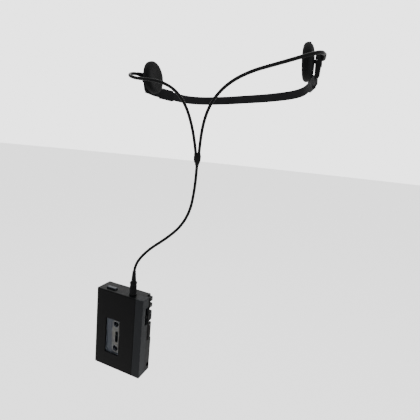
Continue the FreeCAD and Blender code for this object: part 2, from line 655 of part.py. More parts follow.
def battery_cradle():
    x0, x1 = CELL_X - 2.0, CELL_X + CELL_LENGTH + 2.5
    low = CELL_TOP_Z - CELL_PITCH
    y1 = BACK - WALL - 0.1
    body = block(x0, x1, CELL_Y - CELL_R - 0.9, y1, low - CELL_R - 0.8, TOP - WALL)
    for z in (CELL_TOP_Z, low):
        body = body.cut(rod(CELL_X - 1.0, CELL_Y, z, CELL_R + FIT, CELL_LENGTH + 2.5, "x"))
    x = (CELL_X - 1.0, CELL_X + CELL_LENGTH + 1.5)
    body = body.cut(block(x[0], x[1], CELL_Y, y1 + 1, low - CELL_R - FIT, TOP - WALL - 0.15))
    clear = CASSETTE_Z + CASSETTE[1] / 2 + 2.5
    return body.cut(block(x0 - 1, x1 + 1, CELL_Y - 9, CASSETTE_Y + CASSETTE_THIN / 2 + 1.0,
                          clear - 20, clear)).removeSplitter()


def battery_contacts():
    """Sprung strips at the left-hand end and plates at the right-hand end."""
    parts = []
    for z in (CELL_TOP_Z, CELL_TOP_Z - CELL_PITCH):
        parts.append(block(CELL_X - 0.9, CELL_X, CELL_Y - 4, CELL_Y + 4, z - 4, z + 4))
        x = CELL_X + CELL_LENGTH
        parts.append(block(x, x + 0.9, CELL_Y - 4, CELL_Y + 4, z - 4, z + 4))
    return Part.makeCompound(parts)


def circuit_board():
    """The board behind the front bulkhead, with its larger components."""
    y0, y1 = BOARD_Y
    low = CASSETTE_Z + CASSETTE[1] / 2 + 3.4
    board = block(LEFT + WALL + 1, RIGHT - 12, y0, y1, low, TOP - WALL - 0.8)
    parts = [board]
    for i in range(4):
        x = LEFT + 36 + 5.6 * i
        parts.append(rod(x, y1, low + 4, 2.3, 4.2, "y"))
    parts.append(block(LEFT + 38, LEFT + 52, y1, y1 + 2.4, low + 9, low + 15))
    parts.append(block(LEFT + 10, LEFT + 24, y1, y1 + 2.0, low + 3, low + 9))
    stem = block(BUTTON_X[0] + 5, BUTTON_X[1] - 5, y1, BUTTON_Y[1] - 1, TOP - 9.0, TOP - 5.2)
    parts.append(stem)
    return Part.makeCompound(parts)


def headphone_jack():
    z0 = TOP - WALL - JACK_DEPTH
    body = block(JACK_X - 4, JACK_X + 4, BOARD_Y[1], JACK_Y + 2.6, z0, TOP - WALL)
    body = body.fuse(rod(JACK_X, JACK_Y, TOP - WALL - 0.5, JACK_BORE + JACK_WALL, WALL + 0.5))
    return body.cut(rod(JACK_X, JACK_Y, z0 + 1.0, JACK_BORE, JACK_DEPTH + WALL)).removeSplitter()


def dc_socket():
    body = rod(RIGHT - 10, SOCKET_Y, SOCKET_Z, SOCKET_R, 10, "x")
    body = body.cut(rod(RIGHT - 8, SOCKET_Y, SOCKET_Z, 1.9, 9, "x"))
    body = body.fuse(block(RIGHT - 10.5, RIGHT - 8.2, SOCKET_Y - 2.5, BACK - WALL - 0.1,
                           SOCKET_Z - 2.4, SOCKET_Z + 2.4))
    return body.fuse(rod(RIGHT - 9, SOCKET_Y, SOCKET_Z, 0.6, 8.0, "x")).removeSplitter()


def slider_places():
    """The two volume knobs' centres across the slot."""
    middle = sum(SLOT_Y) / 2
    pitch = SLIDER[0] / 2 + FIT
    return {"volume_slider_left": middle - pitch, "volume_slider_right": middle + pitch}


def volume_control():
    z0, z1 = SLOT_Z[0] - 2, SLOT_Z[1] + 2
    body = block(RIGHT - 9, RIGHT - WALL - 0.4, SLOT_Y[0] - 0.2, SLOT_Y[1] + 0.2, z0, z1)
    for y in slider_places().values():
        body = body.cut(block(RIGHT - 6, RIGHT, y - 0.75, y + 0.75, SLOT_Z[0], SLOT_Z[1]))
    return body


def volume_slider(y):
    z = sum(SLOT_Z) / 2
    half = SLIDER[1] / 2
    knob = block(RIGHT - 1.9, RIGHT + 0.9, y - SLIDER[0] / 2, y + SLIDER[0] / 2, z - half, z + half)
    knob = bevelled(knob, 0.4, lambda p: near(p.x, RIGHT + 0.9))
    stem = block(RIGHT - 5.5, RIGHT - 1.9, y - 0.6, y + 0.6, z - 1.5, z + 1.5)
    return knob.fuse(stem).removeSplitter()


def talk_button():
    low, high = TOP - WALL - 0.6, TOP + BUTTON_PROUD
    body = block(BUTTON_X[0], BUTTON_X[1], BUTTON_Y[0], BUTTON_Y[1], low, high)
    body = bevelled(body, 0.6, lambda p: near(p.z, high))
    foot = block(BUTTON_X[0] - 0.6, BUTTON_X[1] + 0.6, BUTTON_Y[0] + 0.5, BUTTON_Y[1] - 0.5,
                 low - 0.8, low)
    return body.fuse(foot).removeSplitter()


def key(low, high):
    z0, z1 = TOP - low, TOP - high
    y0, y1 = KEY_DEPTH
    face = RIGHT + KEY_PROUD
    body = block(KEY_INNER, face, y0, y1, z0, z1)
    body = bevelled(body, 1.0, lambda p: near(p.x, face))
    flange = block(KEY_X - WALL - 1.5, KEY_X - WALL - 0.4, y0 - 0.5, y1, z0 - 0.8, z1)
    return body.fuse(flange).removeSplitter()


# ------------------------------------------------------ plug and cords ----
def turn_radius(before, corner, after):
    """The arc's radius and setback at a route's corner."""
    a, b = corner - before, after - corner
    turn = a.getAngle(b)
    setback = 0.45 * min(a.Length, b.Length)
    return setback / math.tan(turn / 2), setback


def cord(name, route):
    """A round tube along straight runs joined by tangent arcs."""
    points = [Vec(*p) for p in route]
    edges = []
    start = points[0]
    radii = []
    for before, corner, after in zip(points, points[1:], points[2:]):
        radius, setback = turn_radius(before, corner, after)
        radii.append(round(radius, 1))
        a = (before - corner).normalize()
        b = (after - corner).normalize()
        p, q = corner + a * setback, corner + b * setback
        half = (a + b).normalize()
        centre_way = math.hypot(radius, setback)
        middle = corner + half * (centre_way - radius)
        edges.append(Part.LineSegment(start, p).toShape())
        edges.append(Part.Arc(p, middle, q).toShape())
        start = q
    edges.append(Part.LineSegment(start, points[-1]).toShape())
    path = Part.Wire(edges)
    first = (points[1] - points[0]).normalize()
    circle = Part.Wire([Part.makeCircle(CORD_R, points[0], first)])
    tube = path.makePipeShell([circle], True, True)
    expected = path.Length * math.pi * CORD_R ** 2
    print("%s: length %.1f mm, smallest arc %.1f mm, volume ratio %.4f, arcs %s"
          % (name, path.Length, min(radii), abs(tube.Volume) / expected, radii))
    return tube


def plug_shaft():
    shaft = rod(JACK_X, JACK_Y, TOP - PLUG_LENGTH, PLUG_SHAFT_R, PLUG_LENGTH)
    tip = Part.makeCone(0.5, PLUG_SHAFT_R, 2.0, Vec(JACK_X, JACK_Y, TOP - PLUG_LENGTH))
    body = shaft.cut(rod(JACK_X, JACK_Y, TOP - PLUG_LENGTH - 1, 3, 3)).fuse(tip)
    neck = ring(JACK_X, JACK_Y, TOP - PLUG_LENGTH + 3.4, 3.0, PLUG_SHAFT_R - 0.35, 0.8, "z")
    return body.cut(neck).removeSplitter()


def plug_body():
    base = TOP + 0.1
    body = Part.makeCone(PLUG_R, PLUG_TOP_R, PLUG_BODY - COLLAR, Vec(JACK_X, JACK_Y, base))
    low = [e for e in body.Edges if near(e.Length, 2 * math.pi * PLUG_R)]
    body = body.makeFillet(1.0, low)
    collar = rod(JACK_X, JACK_Y, base + PLUG_BODY - COLLAR, PLUG_TOP_R + 0.5, COLLAR)
    body = body.fuse(collar)
    return body.cut(rod(JACK_X, JACK_Y, base - 1, PLUG_SHAFT_R, 1.0)).removeSplitter()


def plug_relief():
    base = TOP + 0.1 + PLUG_BODY
    tip = MAIN_ROUTE[0][2]
    return Part.makeCone(3.8, CORD_R + 0.5, tip - base, Vec(JACK_X, JACK_Y, base))


def cord_splitter():
    """The moulded piece where the cord divides."""
    low = Vec(*MAIN_ROUTE[-1])
    high = (Vec(*LEFT_ROUTE[0]) + Vec(*RIGHT_ROUTE[0])) * 0.5
    width, thick = SPLITTER
    body = block(-width / 2, width / 2, -thick / 2, thick / 2, 0, high.z - low.z)
    body = body.makeFillet(2.9, [e for e in body.Edges if near(e.Length, high.z - low.z)])
    body.translate(Vec((low.x + high.x) / 2, (low.y + high.y) / 2, low.z))
    return body


# ------------------------------------------------------------- headset ----
def on_head(shape):
    """Take a shape from the headset's level frame to its place on the tilted head."""
    turn = FreeCAD.Rotation(Vec(0, 1, 0), -HEAD_TILT)
    shape.Placement = FreeCAD.Placement(HEAD_CENTRE, turn).multiply(shape.Placement)
    return shape


def mirrored(shape, side):
    """The right-hand shape, or its mirror image for the left."""
    return shape if side > 0 else shape.mirror(Vec(0, 0, 0), Vec(1, 0, 0))


def band_path(offset):
    """Half of the band's centre line moved sideways, right-hand end to the middle of the back."""
    points = [TONGUE_END, TONGUE_ROOT] + BAND_POINTS + [(0.0, BAND_BACK)]
    moved = []
    for i, (x, y) in enumerate(points):
        ahead = points[min(i + 1, len(points) - 1)]
        behind = points[max(i - 1, 0)]
        if i < 2:
            behind, ahead = points[0], points[1]
        if i == len(points) - 1:
            behind, ahead = (-points[i - 1][0], points[i - 1][1]), points[i - 1]
            ahead, behind = behind, ahead
        dx, dy = ahead[0] - behind[0], ahead[1] - behind[1]
        size = math.hypot(dx, dy)
        moved.append(Vec(x + offset * dy / size, y - offset * dx / size, 0))
    return moved


def headband():
    """A flat springy strip behind the neck, straight where the sliders hold it."""
    outlines = []
    for offset in (-BAND_THICK / 2, BAND_THICK / 2):
        outlines.append(band_path(offset))
    inner, outer = outlines
    edges = []
    for line in (inner, outer):
        curve = Part.BSplineCurve()
        size = (line[2] - line[1]).Length
        along = (line[1] - line[0]).normalize() * size
        curve.interpolate(line[1:], InitialTangent=along, FinalTangent=Vec(-size, 0, 0))
        edges.append(Part.LineSegment(line[0], line[1]).toShape())
        edges.append(curve.toShape())
    edges.append(Part.LineSegment(inner[0], outer[0]).toShape())
    edges.append(Part.LineSegment(inner[-1], outer[-1]).toShape())
    face = Part.Face(Part.Wire(Part.__sortEdges__(edges)))
    half = face.extrude(Vec(0, 0, BAND_HEIGHT))
    half.translate(Vec(0, 0, -BAND_DROP - BAND_HEIGHT / 2))
    return on_head(half.fuse(mirrored(half, -1)).removeSplitter())


def sleeve_frame():
    """The slider's start, its unit direction backwards and its outward normal."""
    dx = TONGUE_ROOT[0] - TONGUE_END[0]
    dy = TONGUE_ROOT[1] - TONGUE_END[1]
    size = math.hypot(dx, dy)
    along = Vec(dx / size, dy / size, 0)
    out = Vec(dy / size, -dx / size, 0)
    start = Vec(TONGUE_END[0], TONGUE_END[1], 0) - along * TONGUE_SHORT
    return start, along, out


def slanted_box(start, along, out, length, low, high, z0, z1):
    """A box along a direction in plan, between two offsets and two heights."""
    a, b = start + out * low, start + out * high
    far = along * length
    wire = Part.makePolygon([a, b, b + far, a + far, a])
    body = Part.Face(wire).extrude(Vec(0, 0, z1 - z0))
    body.translate(Vec(0, 0, z0))
    return body


def hanger(side):
    """The slider sleeve, its strap to the ear and the upright arm with the cord boss."""
    start, along, out = sleeve_frame()
    half = BAND_THICK / 2 + FIT
    wall = half + SLEEVE_WALL
    z0, z1 = -BAND_DROP - SLEEVE_HEIGHT / 2, -BAND_DROP + SLEEVE_HEIGHT / 2
    body = slanted_box(start, along, out, SLEEVE_LENGTH, -wall, wall, z0, z1)
    joint = start + along * 1.5
    arm_out = ARM_IN + ARM_THICK
    strap = Part.makePolygon([
        Vec(ARM_IN, -STRAP_HALF, 0), Vec(arm_out, -STRAP_HALF, 0), Vec(arm_out, 20, 0),
        joint + out * wall, joint - out * wall, Vec(ARM_IN, 18, 0), Vec(ARM_IN, -STRAP_HALF, 0)])
    strap = Part.Face(strap).extrude(Vec(0, 0, BAND_HEIGHT))
    strap.translate(Vec(0, 0, -BAND_DROP - BAND_HEIGHT / 2))
    body = body.fuse(strap)
    arm = block(ARM_IN, arm_out, -STRAP_HALF, STRAP_HALF, -BAND_DROP - BAND_HEIGHT / 2, 6.0)
    body = body.fuse(arm)
    body = body.fuse(rod(ARM_IN, 0, 0, BOSS_R, BOSS_OUT - ARM_IN, "x"))
    fork = block(ARM_IN - 1, PIVOT_X + KNUCKLE_R + 0.8, -KNUCKLE / 2 - 0.2, KNUCKLE / 2 + 0.2, -5.0, 5.0)
    fork = fork.fuse(rod(PIVOT_X, -12, 0, PIVOT_PIN_R, 24, "y"))
    z0, z1 = -BAND_DROP - BAND_HEIGHT / 2 - FIT, -BAND_DROP + BAND_HEIGHT / 2 + FIT
    channel = slanted_box(start - along * 0.5, along, out, SLEEVE_LENGTH + 2, -half, half, z0, z1)
    body = body.cut(channel)
    body = on_head(mirrored(body, side)).fuse(cord_gland(side))
    return body.cut(on_head(mirrored(fork, side))).removeSplitter()


def cord_gland(side):
    """The tapered collar from inside the boss to the end of that side's cord."""
    route = RIGHT_ROUTE if side > 0 else LEFT_ROUTE
    end, before = Vec(*route[-1]), Vec(*route[-2])
    way = (before - end).normalize()
    return Part.makeCone(3.4, 2.7, GLAND - CORD_GAP, end - way * GLAND, way)


def pivot_pin(side):
    pin = rod(PIVOT_X, -6.2, 0, PIVOT_PIN_R, 12.4, "y")
    return on_head(mirrored(pin, side))


def ear_cup(side):
    """The domed cup with its hinge knuckle, hollow for the driver."""
    front = PAD_FACE + PAD_THICK
    ball = Part.makeSphere(CUP_DOME, Vec(CUP_BACK - CUP_DOME, 0, 0))
    body = rod(front, 0, 0, CUP_R, CUP_BACK - front + 1, "x").common(ball)
    body = body.cut(rod(front - 1, 0, 0, DRIVER_R + 0.2, 3.6, "x"))
    knuckle = rod(PIVOT_X, -KNUCKLE / 2, 0, KNUCKLE_R, KNUCKLE, "y")
    knuckle = knuckle.fuse(block(CUP_BACK - 1.0, PIVOT_X, -KNUCKLE / 2, KNUCKLE / 2, -1.8, 1.8))
    body = body.fuse(knuckle)
    body = body.cut(rod(PIVOT_X, -3, 0, PIVOT_PIN_R + RUN, 6, "y"))
    return on_head(mirrored(body.removeSplitter(), side))


def ear_driver(side):
    """The loudspeaker: frame, magnet and perforated front."""
    front = PAD_FACE + PAD_THICK
    body = rod(front - 0.4, 0, 0, DRIVER_R, 1.6, "x")
    body = body.fuse(rod(front + 1.0, 0, 0, 9.0, 1.4, "x"))
    holes = 8
    for i in range(holes):
        a = 2 * math.pi * i / holes
        body = body.cut(rod(front - 1, 10.8 * math.cos(a), 10.8 * math.sin(a), 1.0, 1.6, "x"))
    return on_head(mirrored(body.removeSplitter(), side))


def ear_pad(side):
    """The foam pad: a thick disc stretched over the cup's rim."""
    pad = rod(PAD_FACE, 0, 0, PAD_R, PAD_THICK - 0.4, "x")
    face = [e for e in pad.Edges if near(e.Length, 2 * math.pi * PAD_R)
            and near(e.valueAt(e.FirstParameter).x, PAD_FACE)]
    return on_head(mirrored(pad.makeFillet(3.5, face), side))


def build():
    shapes = {
        "rear_case": rear_case(), "front_case": front_case(), "control_cover": control_cover(),
        "case_screws": case_screws(), "battery_lid": battery_lid(),
        "door_panel": door_panel(), "door_window": door_window(),
        "door_hinge_pins": door_hinge_pins(), "cassette_guides": cassette_guides(),
        "cassette_front_half": cassette_half(True), "cassette_rear_half": cassette_half(False),
        "cassette_label": cassette_label(), "tape_guides": tape_guides(),
        "chassis_plate": chassis_plate(), "motor": motor(), "motor_pulley": motor_pulley(),
        "flywheel": flywheel(), "drive_belt": drive_belt(), "idler_wheel": idler_wheel(),
        "head_base": head_base(), "playback_head": playback_head(),
        "pinch_arm": pinch_arm(), "pinch_roller": pinch_roller(),
        "battery_cells": battery_cells(), "battery_cradle": battery_cradle(),
        "battery_contacts": battery_contacts(), "circuit_board": circuit_board(),
        "headphone_jack": headphone_jack(), "dc_socket": dc_socket(),
        "volume_control": volume_control(), "talk_button": talk_button(),
        "plug_shaft": plug_shaft(), "plug_body": plug_body(), "plug_relief": plug_relief(),
        "main_cord": cord("main_cord", MAIN_ROUTE), "left_cord": cord("left_cord", LEFT_ROUTE),
        "right_cord": cord("right_cord", RIGHT_ROUTE), "cord_splitter": cord_splitter(),
        "headband": headband(),
    }
    for name, z in hub_places().items():
        shapes[name + "_reel"] = reel(z)
        shapes[name + "_spindle"] = spindle(z)
    for name, y in slider_places().items():
        shapes[name] = volume_slider(y)
    for name, (low, high) in KEYS.items():
        shapes[name] = key(low, high)
    for name, side in (("left", -1), ("right", 1)):
        shapes[name + "_hanger"] = hanger(side)
        shapes[name + "_pivot_pin"] = pivot_pin(side)
        shapes[name + "_ear_cup"] = ear_cup(side)
        shapes[name + "_driver"] = ear_driver(side)
        shapes[name + "_ear_pad"] = ear_pad(side)
    return shapes


export(build())
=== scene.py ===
"""Looks of a pocket cassette player with its headphones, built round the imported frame."""
import json
import math

import bmesh
import bpy
from bpy.props import FloatProperty, FloatVectorProperty, IntProperty, PointerProperty
from mathutils import Matrix, Vector, noise


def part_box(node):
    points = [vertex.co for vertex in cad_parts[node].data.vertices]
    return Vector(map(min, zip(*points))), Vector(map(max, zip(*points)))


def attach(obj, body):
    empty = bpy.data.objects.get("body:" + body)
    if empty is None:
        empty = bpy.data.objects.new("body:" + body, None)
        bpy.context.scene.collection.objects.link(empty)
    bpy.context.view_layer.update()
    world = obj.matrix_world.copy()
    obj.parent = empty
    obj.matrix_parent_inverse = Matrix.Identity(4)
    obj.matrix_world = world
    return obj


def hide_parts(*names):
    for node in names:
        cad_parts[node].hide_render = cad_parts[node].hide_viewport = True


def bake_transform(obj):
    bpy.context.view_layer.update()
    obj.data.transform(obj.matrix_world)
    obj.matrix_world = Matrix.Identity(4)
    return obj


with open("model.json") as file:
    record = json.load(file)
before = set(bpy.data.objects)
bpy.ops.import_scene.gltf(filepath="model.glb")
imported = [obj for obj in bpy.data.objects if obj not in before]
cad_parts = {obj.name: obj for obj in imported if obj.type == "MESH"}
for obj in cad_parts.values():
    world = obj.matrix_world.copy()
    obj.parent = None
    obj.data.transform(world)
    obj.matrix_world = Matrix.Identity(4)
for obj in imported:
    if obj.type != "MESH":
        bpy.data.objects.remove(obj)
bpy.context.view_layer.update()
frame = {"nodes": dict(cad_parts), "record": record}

bl_info = {
    "name": "Pocket Cassette Player",
    "version": (1, 0, 0),
    "blender": (4, 5, 0),
    "location": "3D View > Sidebar > Cassette player",
    "description": "Finishes, cords, foam pads and fine mouldings of a pocket cassette player",
    "category": "Object",
}

MM = 0.001
NODES = frame["nodes"]
MOUNTS = {m["name"]: m for m in frame["record"]["mounts"]}

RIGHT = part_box("control_cover")[1].x
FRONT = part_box("front_case")[0].y
BOTTOM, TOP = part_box("front_case")[0].z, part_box("front_case")[1].z
PLAYER_MIDDLE = Vector((0, FRONT / 2, 0))
PLAYER_HALF = Vector((RIGHT, -FRONT / 2, TOP))

# The level frame between the ears: +X to the right-hand ear.
HEAD = Vector(MOUNTS["head_fit"]["pos_m"])
HEAD_RIGHT = Vector(MOUNTS["head_fit"]["axis"]).normalized()
HEAD_UP = HEAD_RIGHT.cross(Vector((0, 1, 0)))
ON_HEAD = Matrix.Translation(HEAD) @ Matrix((HEAD_RIGHT, (0, 1, 0), HEAD_UP)).transposed().to_4x4()
CUP_FRONT = 111.4  # in mm to the right of the point between the ears

# Where the camera stands, which way it looks and which way is right for it.
CAMERA_PLACE = (0.2766, -0.3901, 0.29285)
CAMERA_LOOK = (-0.356, 0.918, -0.177)
CAMERA_RIGHT = (0.921, 0.377, 0.100)
CAMERA_LENS = 25.714
LIT_MIDDLE = Vector((0.08, 0.02, 0.2))

# Cord routes, in metres, from the plug up to the fork and from the fork to each ear.
MAIN_ROUTE = [
    (0.0180, -0.0196, 0.1050), (0.0184, -0.0193, 0.1130), (0.0235, -0.0165, 0.1265),
    (0.0372, -0.0106, 0.1440), (0.0597, -0.0040, 0.1627), (0.0804, 0.0017, 0.1842),
    (0.0912, 0.0070, 0.2097), (0.0936, 0.0098, 0.2380), (0.0934, 0.0122, 0.2620),
    (0.0924, 0.0136, 0.2795),
]
LEFT_ROUTE = [
    (0.0892, 0.0140, 0.2920), (0.0866, 0.0106, 0.3120), (0.0805, 0.0060, 0.3380),
    (0.0715, 0.0020, 0.3600), (0.0585, -0.0040, 0.3770), (0.0425, -0.0125, 0.3855),
    (0.0250, -0.0200, 0.3875), (0.0075, -0.0250, 0.3875), (-0.0065, -0.0230, 0.3910),
    (-0.0145, -0.0120, 0.3970), (-0.0133, -0.0010, 0.4006), (-0.0094, 0.0072, 0.4009),
]
RIGHT_ROUTE = [
    (0.0938, 0.0140, 0.2920), (0.0965, 0.0085, 0.3140), (0.1020, 0.0015, 0.3375),
    (0.1105, -0.0030, 0.3590), (0.1240, -0.0055, 0.3770), (0.1430, -0.0090, 0.3905),
    (0.1680, -0.0145, 0.3995), (0.1930, -0.0200, 0.4040), (0.2140, -0.0240, 0.4080),
    (0.2315, -0.0235, 0.4130), (0.2425, -0.0145, 0.4185), (0.2470, -0.0025, 0.4210),
    (0.2456, 0.0072, 0.4210),
]


# ---------------------------------------------------------------- settings ----
def size_property(name, description, default):
    return FloatProperty(name=name, description=description, default=default,
                         unit="LENGTH", subtype="DISTANCE")


def colour_property(name, description, default):
    return FloatVectorProperty(name=name, description=description, default=default,
                               size=3, min=0.0, max=1.0, subtype="COLOR")


class CaseSettings(bpy.types.PropertyGroup):
    """Sizes and colours of the player's shells, door and cassette."""
    edge: size_property("Edge", "Rounding of the moulded shells' edges", 0.22 * MM)
    window_bevel: size_property("Window bevel", "Slope round the door's window", 0.45 * MM)
    shell: colour_property("Shell", "Rear and front shells", (0.0026, 0.0027, 0.0029))
    cover: colour_property("Cover", "Painted strip along the key side", (0.0072, 0.0079, 0.0088))
    door: colour_property("Door", "Painted cassette door", (0.0011, 0.0011, 0.0012))
    cassette: colour_property("Cassette", "Cassette shell", (0.042, 0.046, 0.054))
    label: colour_property("Label", "Printed strip on the cassette", (0.078, 0.078, 0.076))
    grip_ribs: IntProperty(name="Grip ribs", description="Ribs on the battery lid", default=7)


class ControlSettings(bpy.types.PropertyGroup):
    """Sizes and colours of the keys, button and sliders."""
    key: colour_property("Key", "Grey keys", (0.0052, 0.0054, 0.0058))
    dark_key: colour_property("Dark key", "Stop key", (0.0030, 0.0030, 0.0032))
    button: colour_property("Button", "Light button on the top", (0.022, 0.024, 0.028))
    mark: colour_property("Mark", "Printed marks", (0.085, 0.085, 0.083))
    rib: size_property("Rib", "Width of a finger rib", 0.5 * MM)
    rib_pitch: size_property("Rib pitch", "Distance between finger ribs", 1.1 * MM)


class HeadsetSettings(bpy.types.PropertyGroup):
    """Sizes and colours of the headset."""
    band: colour_property("Band", "Coated spring band", (0.0078, 0.0078, 0.0084))
    moulding: colour_property("Moulding", "Sliders and cups", (0.0058, 0.0060, 0.0064))
    foam: colour_property("Foam", "Ear pads", (0.0011, 0.0011, 0.0012))
    foam_fill: FloatProperty(name="Foam fill", description="From slack to tight", default=0.7,
                             min=0.0, max=1.0, subtype="FACTOR")
    foam_relief: size_property("Foam relief", "Height of the foam's unevenness", 0.10 * MM)


class CordSettings(bpy.types.PropertyGroup):
    """Sizes and colours of the cord and plug."""
    diameter: size_property("Diameter", "Thickness of every cord", 4.4 * MM)
    vinyl: colour_property("Vinyl", "Cord, plug and fork", (0.0034, 0.0034, 0.0036))
    flutes: IntProperty(name="Flutes", description="Grip flutes round the plug", default=18)
    rings: IntProperty(name="Rings", description="Rings of the plug's relief", default=7)


class StageSettings(bpy.types.PropertyGroup):
    """Floor, lights and camera."""
    floor: colour_property("Floor", "Pale floor", (0.95, 0.95, 0.95))
    floor_drop: size_property("Floor drop", "Floor below the player", 0.30)
    top_light: FloatProperty(name="Top light", description="Overhead light", default=12.0,
                             unit="POWER")
    side_light: FloatProperty(name="Side light", description="Light from the key side",
                              default=0.4, unit="POWER")
    world: FloatProperty(name="Backdrop", description="Brightness behind", default=3.0)
    front: FloatProperty(name="Front", description="Brightness in front", default=1.5)


# ------------------------------------------------------------- mesh helpers ----
def piece(name, bm, material, body, replaces=(), sharp=35.0, recalculate=True):
    """Turn a bmesh, in metres, into an object that rides on a body."""
    if recalculate:
        bmesh.ops.recalc_face_normals(bm, faces=bm.faces[:])
    mesh = bpy.data.meshes.new(name)
    bm.to_mesh(mesh)
    bm.free()
    return place(name, mesh, material, body, replaces, sharp)


def place(name, mesh, material, body, replaces=(), sharp=35.0):
    """Show a mesh as a piece on a body, smooth but for its corners."""
    if sharp:
        mesh.shade_smooth()
        mesh.set_sharp_from_angle(angle=math.radians(sharp))
    obj = bpy.data.objects.new(name, mesh)
    bpy.context.scene.collection.objects.link(obj)
    if material:
        mesh.materials.clear()
        mesh.materials.append(material)
    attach(obj, body)
    if replaces:
        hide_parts(*replaces)
    return obj


def plain_mesh(obj):
    """The evaluated mesh of an object, with its modifiers built in; the object goes away."""
    bpy.context.view_layer.update()
    evaluated = obj.evaluated_get(bpy.context.evaluated_depsgraph_get())
    mesh = bpy.data.meshes.new_from_object(evaluated)
    if not mesh.polygons:
        raise RuntimeError(f"{obj.name} came out empty")
    bpy.data.objects.remove(obj)
    return mesh


def rounded_copy(name, node, body, material, width, segments=2, corner=32.0):
    """A CAD node's own shape with its corners rounded."""
    bm = bmesh.new()
    bm.from_mesh(NODES[node].data)
    bmesh.ops.remove_doubles(bm, verts=bm.verts[:], dist=0.002 * MM)
    bmesh.ops.dissolve_limit(bm, angle_limit=math.radians(0.8), verts=bm.verts[:],
                             edges=bm.edges[:])
    mesh = bpy.data.meshes.new(name)
    bm.to_mesh(mesh)
    bm.free()
    rough = bpy.data.objects.new("rough", mesh)
    bpy.context.scene.collection.objects.link(rough)
    bevel = rough.modifiers.new("Rounding", "BEVEL")
    bevel.width = width
    bevel.segments = segments
    bevel.limit_method = "ANGLE"
    bevel.angle_limit = math.radians(corner)
    bevel.use_clamp_overlap = True
    weighted = rough.modifiers.new("Flat faces", "WEIGHTED_NORMAL")
    weighted.keep_sharp = True
    mesh.shade_smooth()
    return place(name, plain_mesh(rough), material, body, (node,), None)


def rounded_box(bm, low, high, radius, segments=3):
    """Add a box with rounded edges between two corners, in metres."""
    low, high = Vector(low), Vector(high)
    made = bmesh.ops.create_cube(bm, size=1.0)["verts"]
    for vert in made:
        share = vert.co + Vector((0.5, 0.5, 0.5))
        vert.co = Vector([low[k] + (high[k] - low[k]) * share[k] for k in range(3)])
    edges = list({edge for vert in made for edge in vert.link_edges})
    bmesh.ops.bevel(bm, geom=edges, offset=radius, segments=segments, profile=0.5,
                    affect="EDGES", clamp_overlap=True)


def lathe(bm, profile, steps=48, matrix=None):
    """Add a turned shape: profile points are (height along Z, radius), in metres."""
    rings = []
    for height, radius in profile:
        if radius < 1e-7:
            rings.append([bm.verts.new((0, 0, height))])
            continue
        turn = [2 * math.pi * i / steps for i in range(steps)]
        rings.append([bm.verts.new((radius * math.cos(a), radius * math.sin(a), height))
                      for a in turn])
    made = [vert for ring in rings for vert in ring]
    for low, high in zip(rings, rings[1:]):
        for i in range(steps):
            j = (i + 1) % steps
            if len(low) == 1 and len(high) > 1:
                bm.faces.new((low[0], high[i], high[j]))
            elif len(high) == 1 and len(low) > 1:
                bm.faces.new((low[i], high[0], low[j]))
            elif len(low) > 1:
                bm.faces.new((low[i], high[i], high[j], low[j]))
    if matrix is not None:
        bmesh.ops.transform(bm, matrix=matrix, verts=made)
    return made


def towards(start, direction):
    """The matrix that stands a shape made along +Z on a point, facing a direction."""
    turn = Vector(direction).to_track_quat("Z", "Y").to_matrix().to_4x4()
    return Matrix.Translation(start) @ turn


def prism(bm, outline, low, high, matrix):
    """Add a prism over an outline of (x, y) points between two heights."""
    bottom = [bm.verts.new(matrix @ Vector((x, y, low))) for x, y in outline]
    top = [bm.verts.new(matrix @ Vector((x, y, high))) for x, y in outline]
    bm.faces.new(bottom[::-1])
    bm.faces.new(top)
    for i in range(len(outline)):
        j = (i + 1) % len(outline)
        bm.faces.new((bottom[i], bottom[j], top[j], top[i]))


def mirrored(side):
    """The matrix from the level right-hand half of the headset to one side of it."""
    return ON_HEAD @ Matrix.Scale(side, 4, (1, 0, 0))


# ------------------------------------------------------------ cord helpers ----
def smooth_curve(name, route, radius):
    """One open spline with the route's points as its control points."""
    curve = bpy.data.curves.new(name, "CURVE")
    curve.dimensions = "3D"
    curve.resolution_u = 12
    spline = curve.splines.new("NURBS")
    spline.points.add(len(route) - 1)
    for point, spot in zip(spline.points, route):
        point.co = (*spot, 1.0)
    spline.order_u = 3
    spline.use_endpoint_u = True
    curve.bevel_depth = radius
    curve.bevel_resolution = 6
    curve.use_fill_caps = True
    return bpy.data.objects.new(name, curve)


def spline_points(route):
    """Points read from the route's smooth spline."""
    bare = smooth_curve("bare", route, 0.0)
    mesh = bpy.data.meshes.new_from_object(bare)
    points = [vert.co.copy() for vert in mesh.vertices]
    bpy.data.meshes.remove(mesh)
    bpy.data.objects.remove(bare)
    return points


def tube(bm, points, radius, sides=20):
    """Add a capped round tube along points, without twist."""
    before = (points[1] - points[0]).normalized()
    across = before.orthogonal().normalized()
    rings = []
    for i, point in enumerate(points):
        ahead = points[min(i + 1, len(points) - 1)] - points[max(i - 1, 0)]
        ahead.normalize()
        across = before.rotation_difference(ahead) @ across
        across = (across - ahead * across.dot(ahead)).normalized()
        up = ahead.cross(across)
        before = ahead
        turn = [2 * math.pi * k / sides for k in range(sides)]
        rings.append([bm.verts.new(point + (across * math.cos(a) + up * math.sin(a)) * radius)
                      for a in turn])
    for low, high in zip(rings, rings[1:]):
        for i in range(sides):
            j = (i + 1) % sides
            bm.faces.new((low[i], low[j], high[j], high[i]))
    bm.faces.new(rings[0][::-1])
    bm.faces.new(rings[-1])


# -------------------------------------------------------- repeated details ----
def new_tree(name, inputs):
    """An empty geometry tree with named inputs and its group input and output nodes."""
    tree = bpy.data.node_groups.new(name, "GeometryNodeTree")
    for label, kind in inputs:
        tree.interface.new_socket(label, in_out="INPUT", socket_type=kind)
    tree.interface.new_socket("Geometry", in_out="OUTPUT", socket_type="NodeSocketGeometry")
    return tree, tree.nodes.new("NodeGroupInput"), tree.nodes.new("NodeGroupOutput")


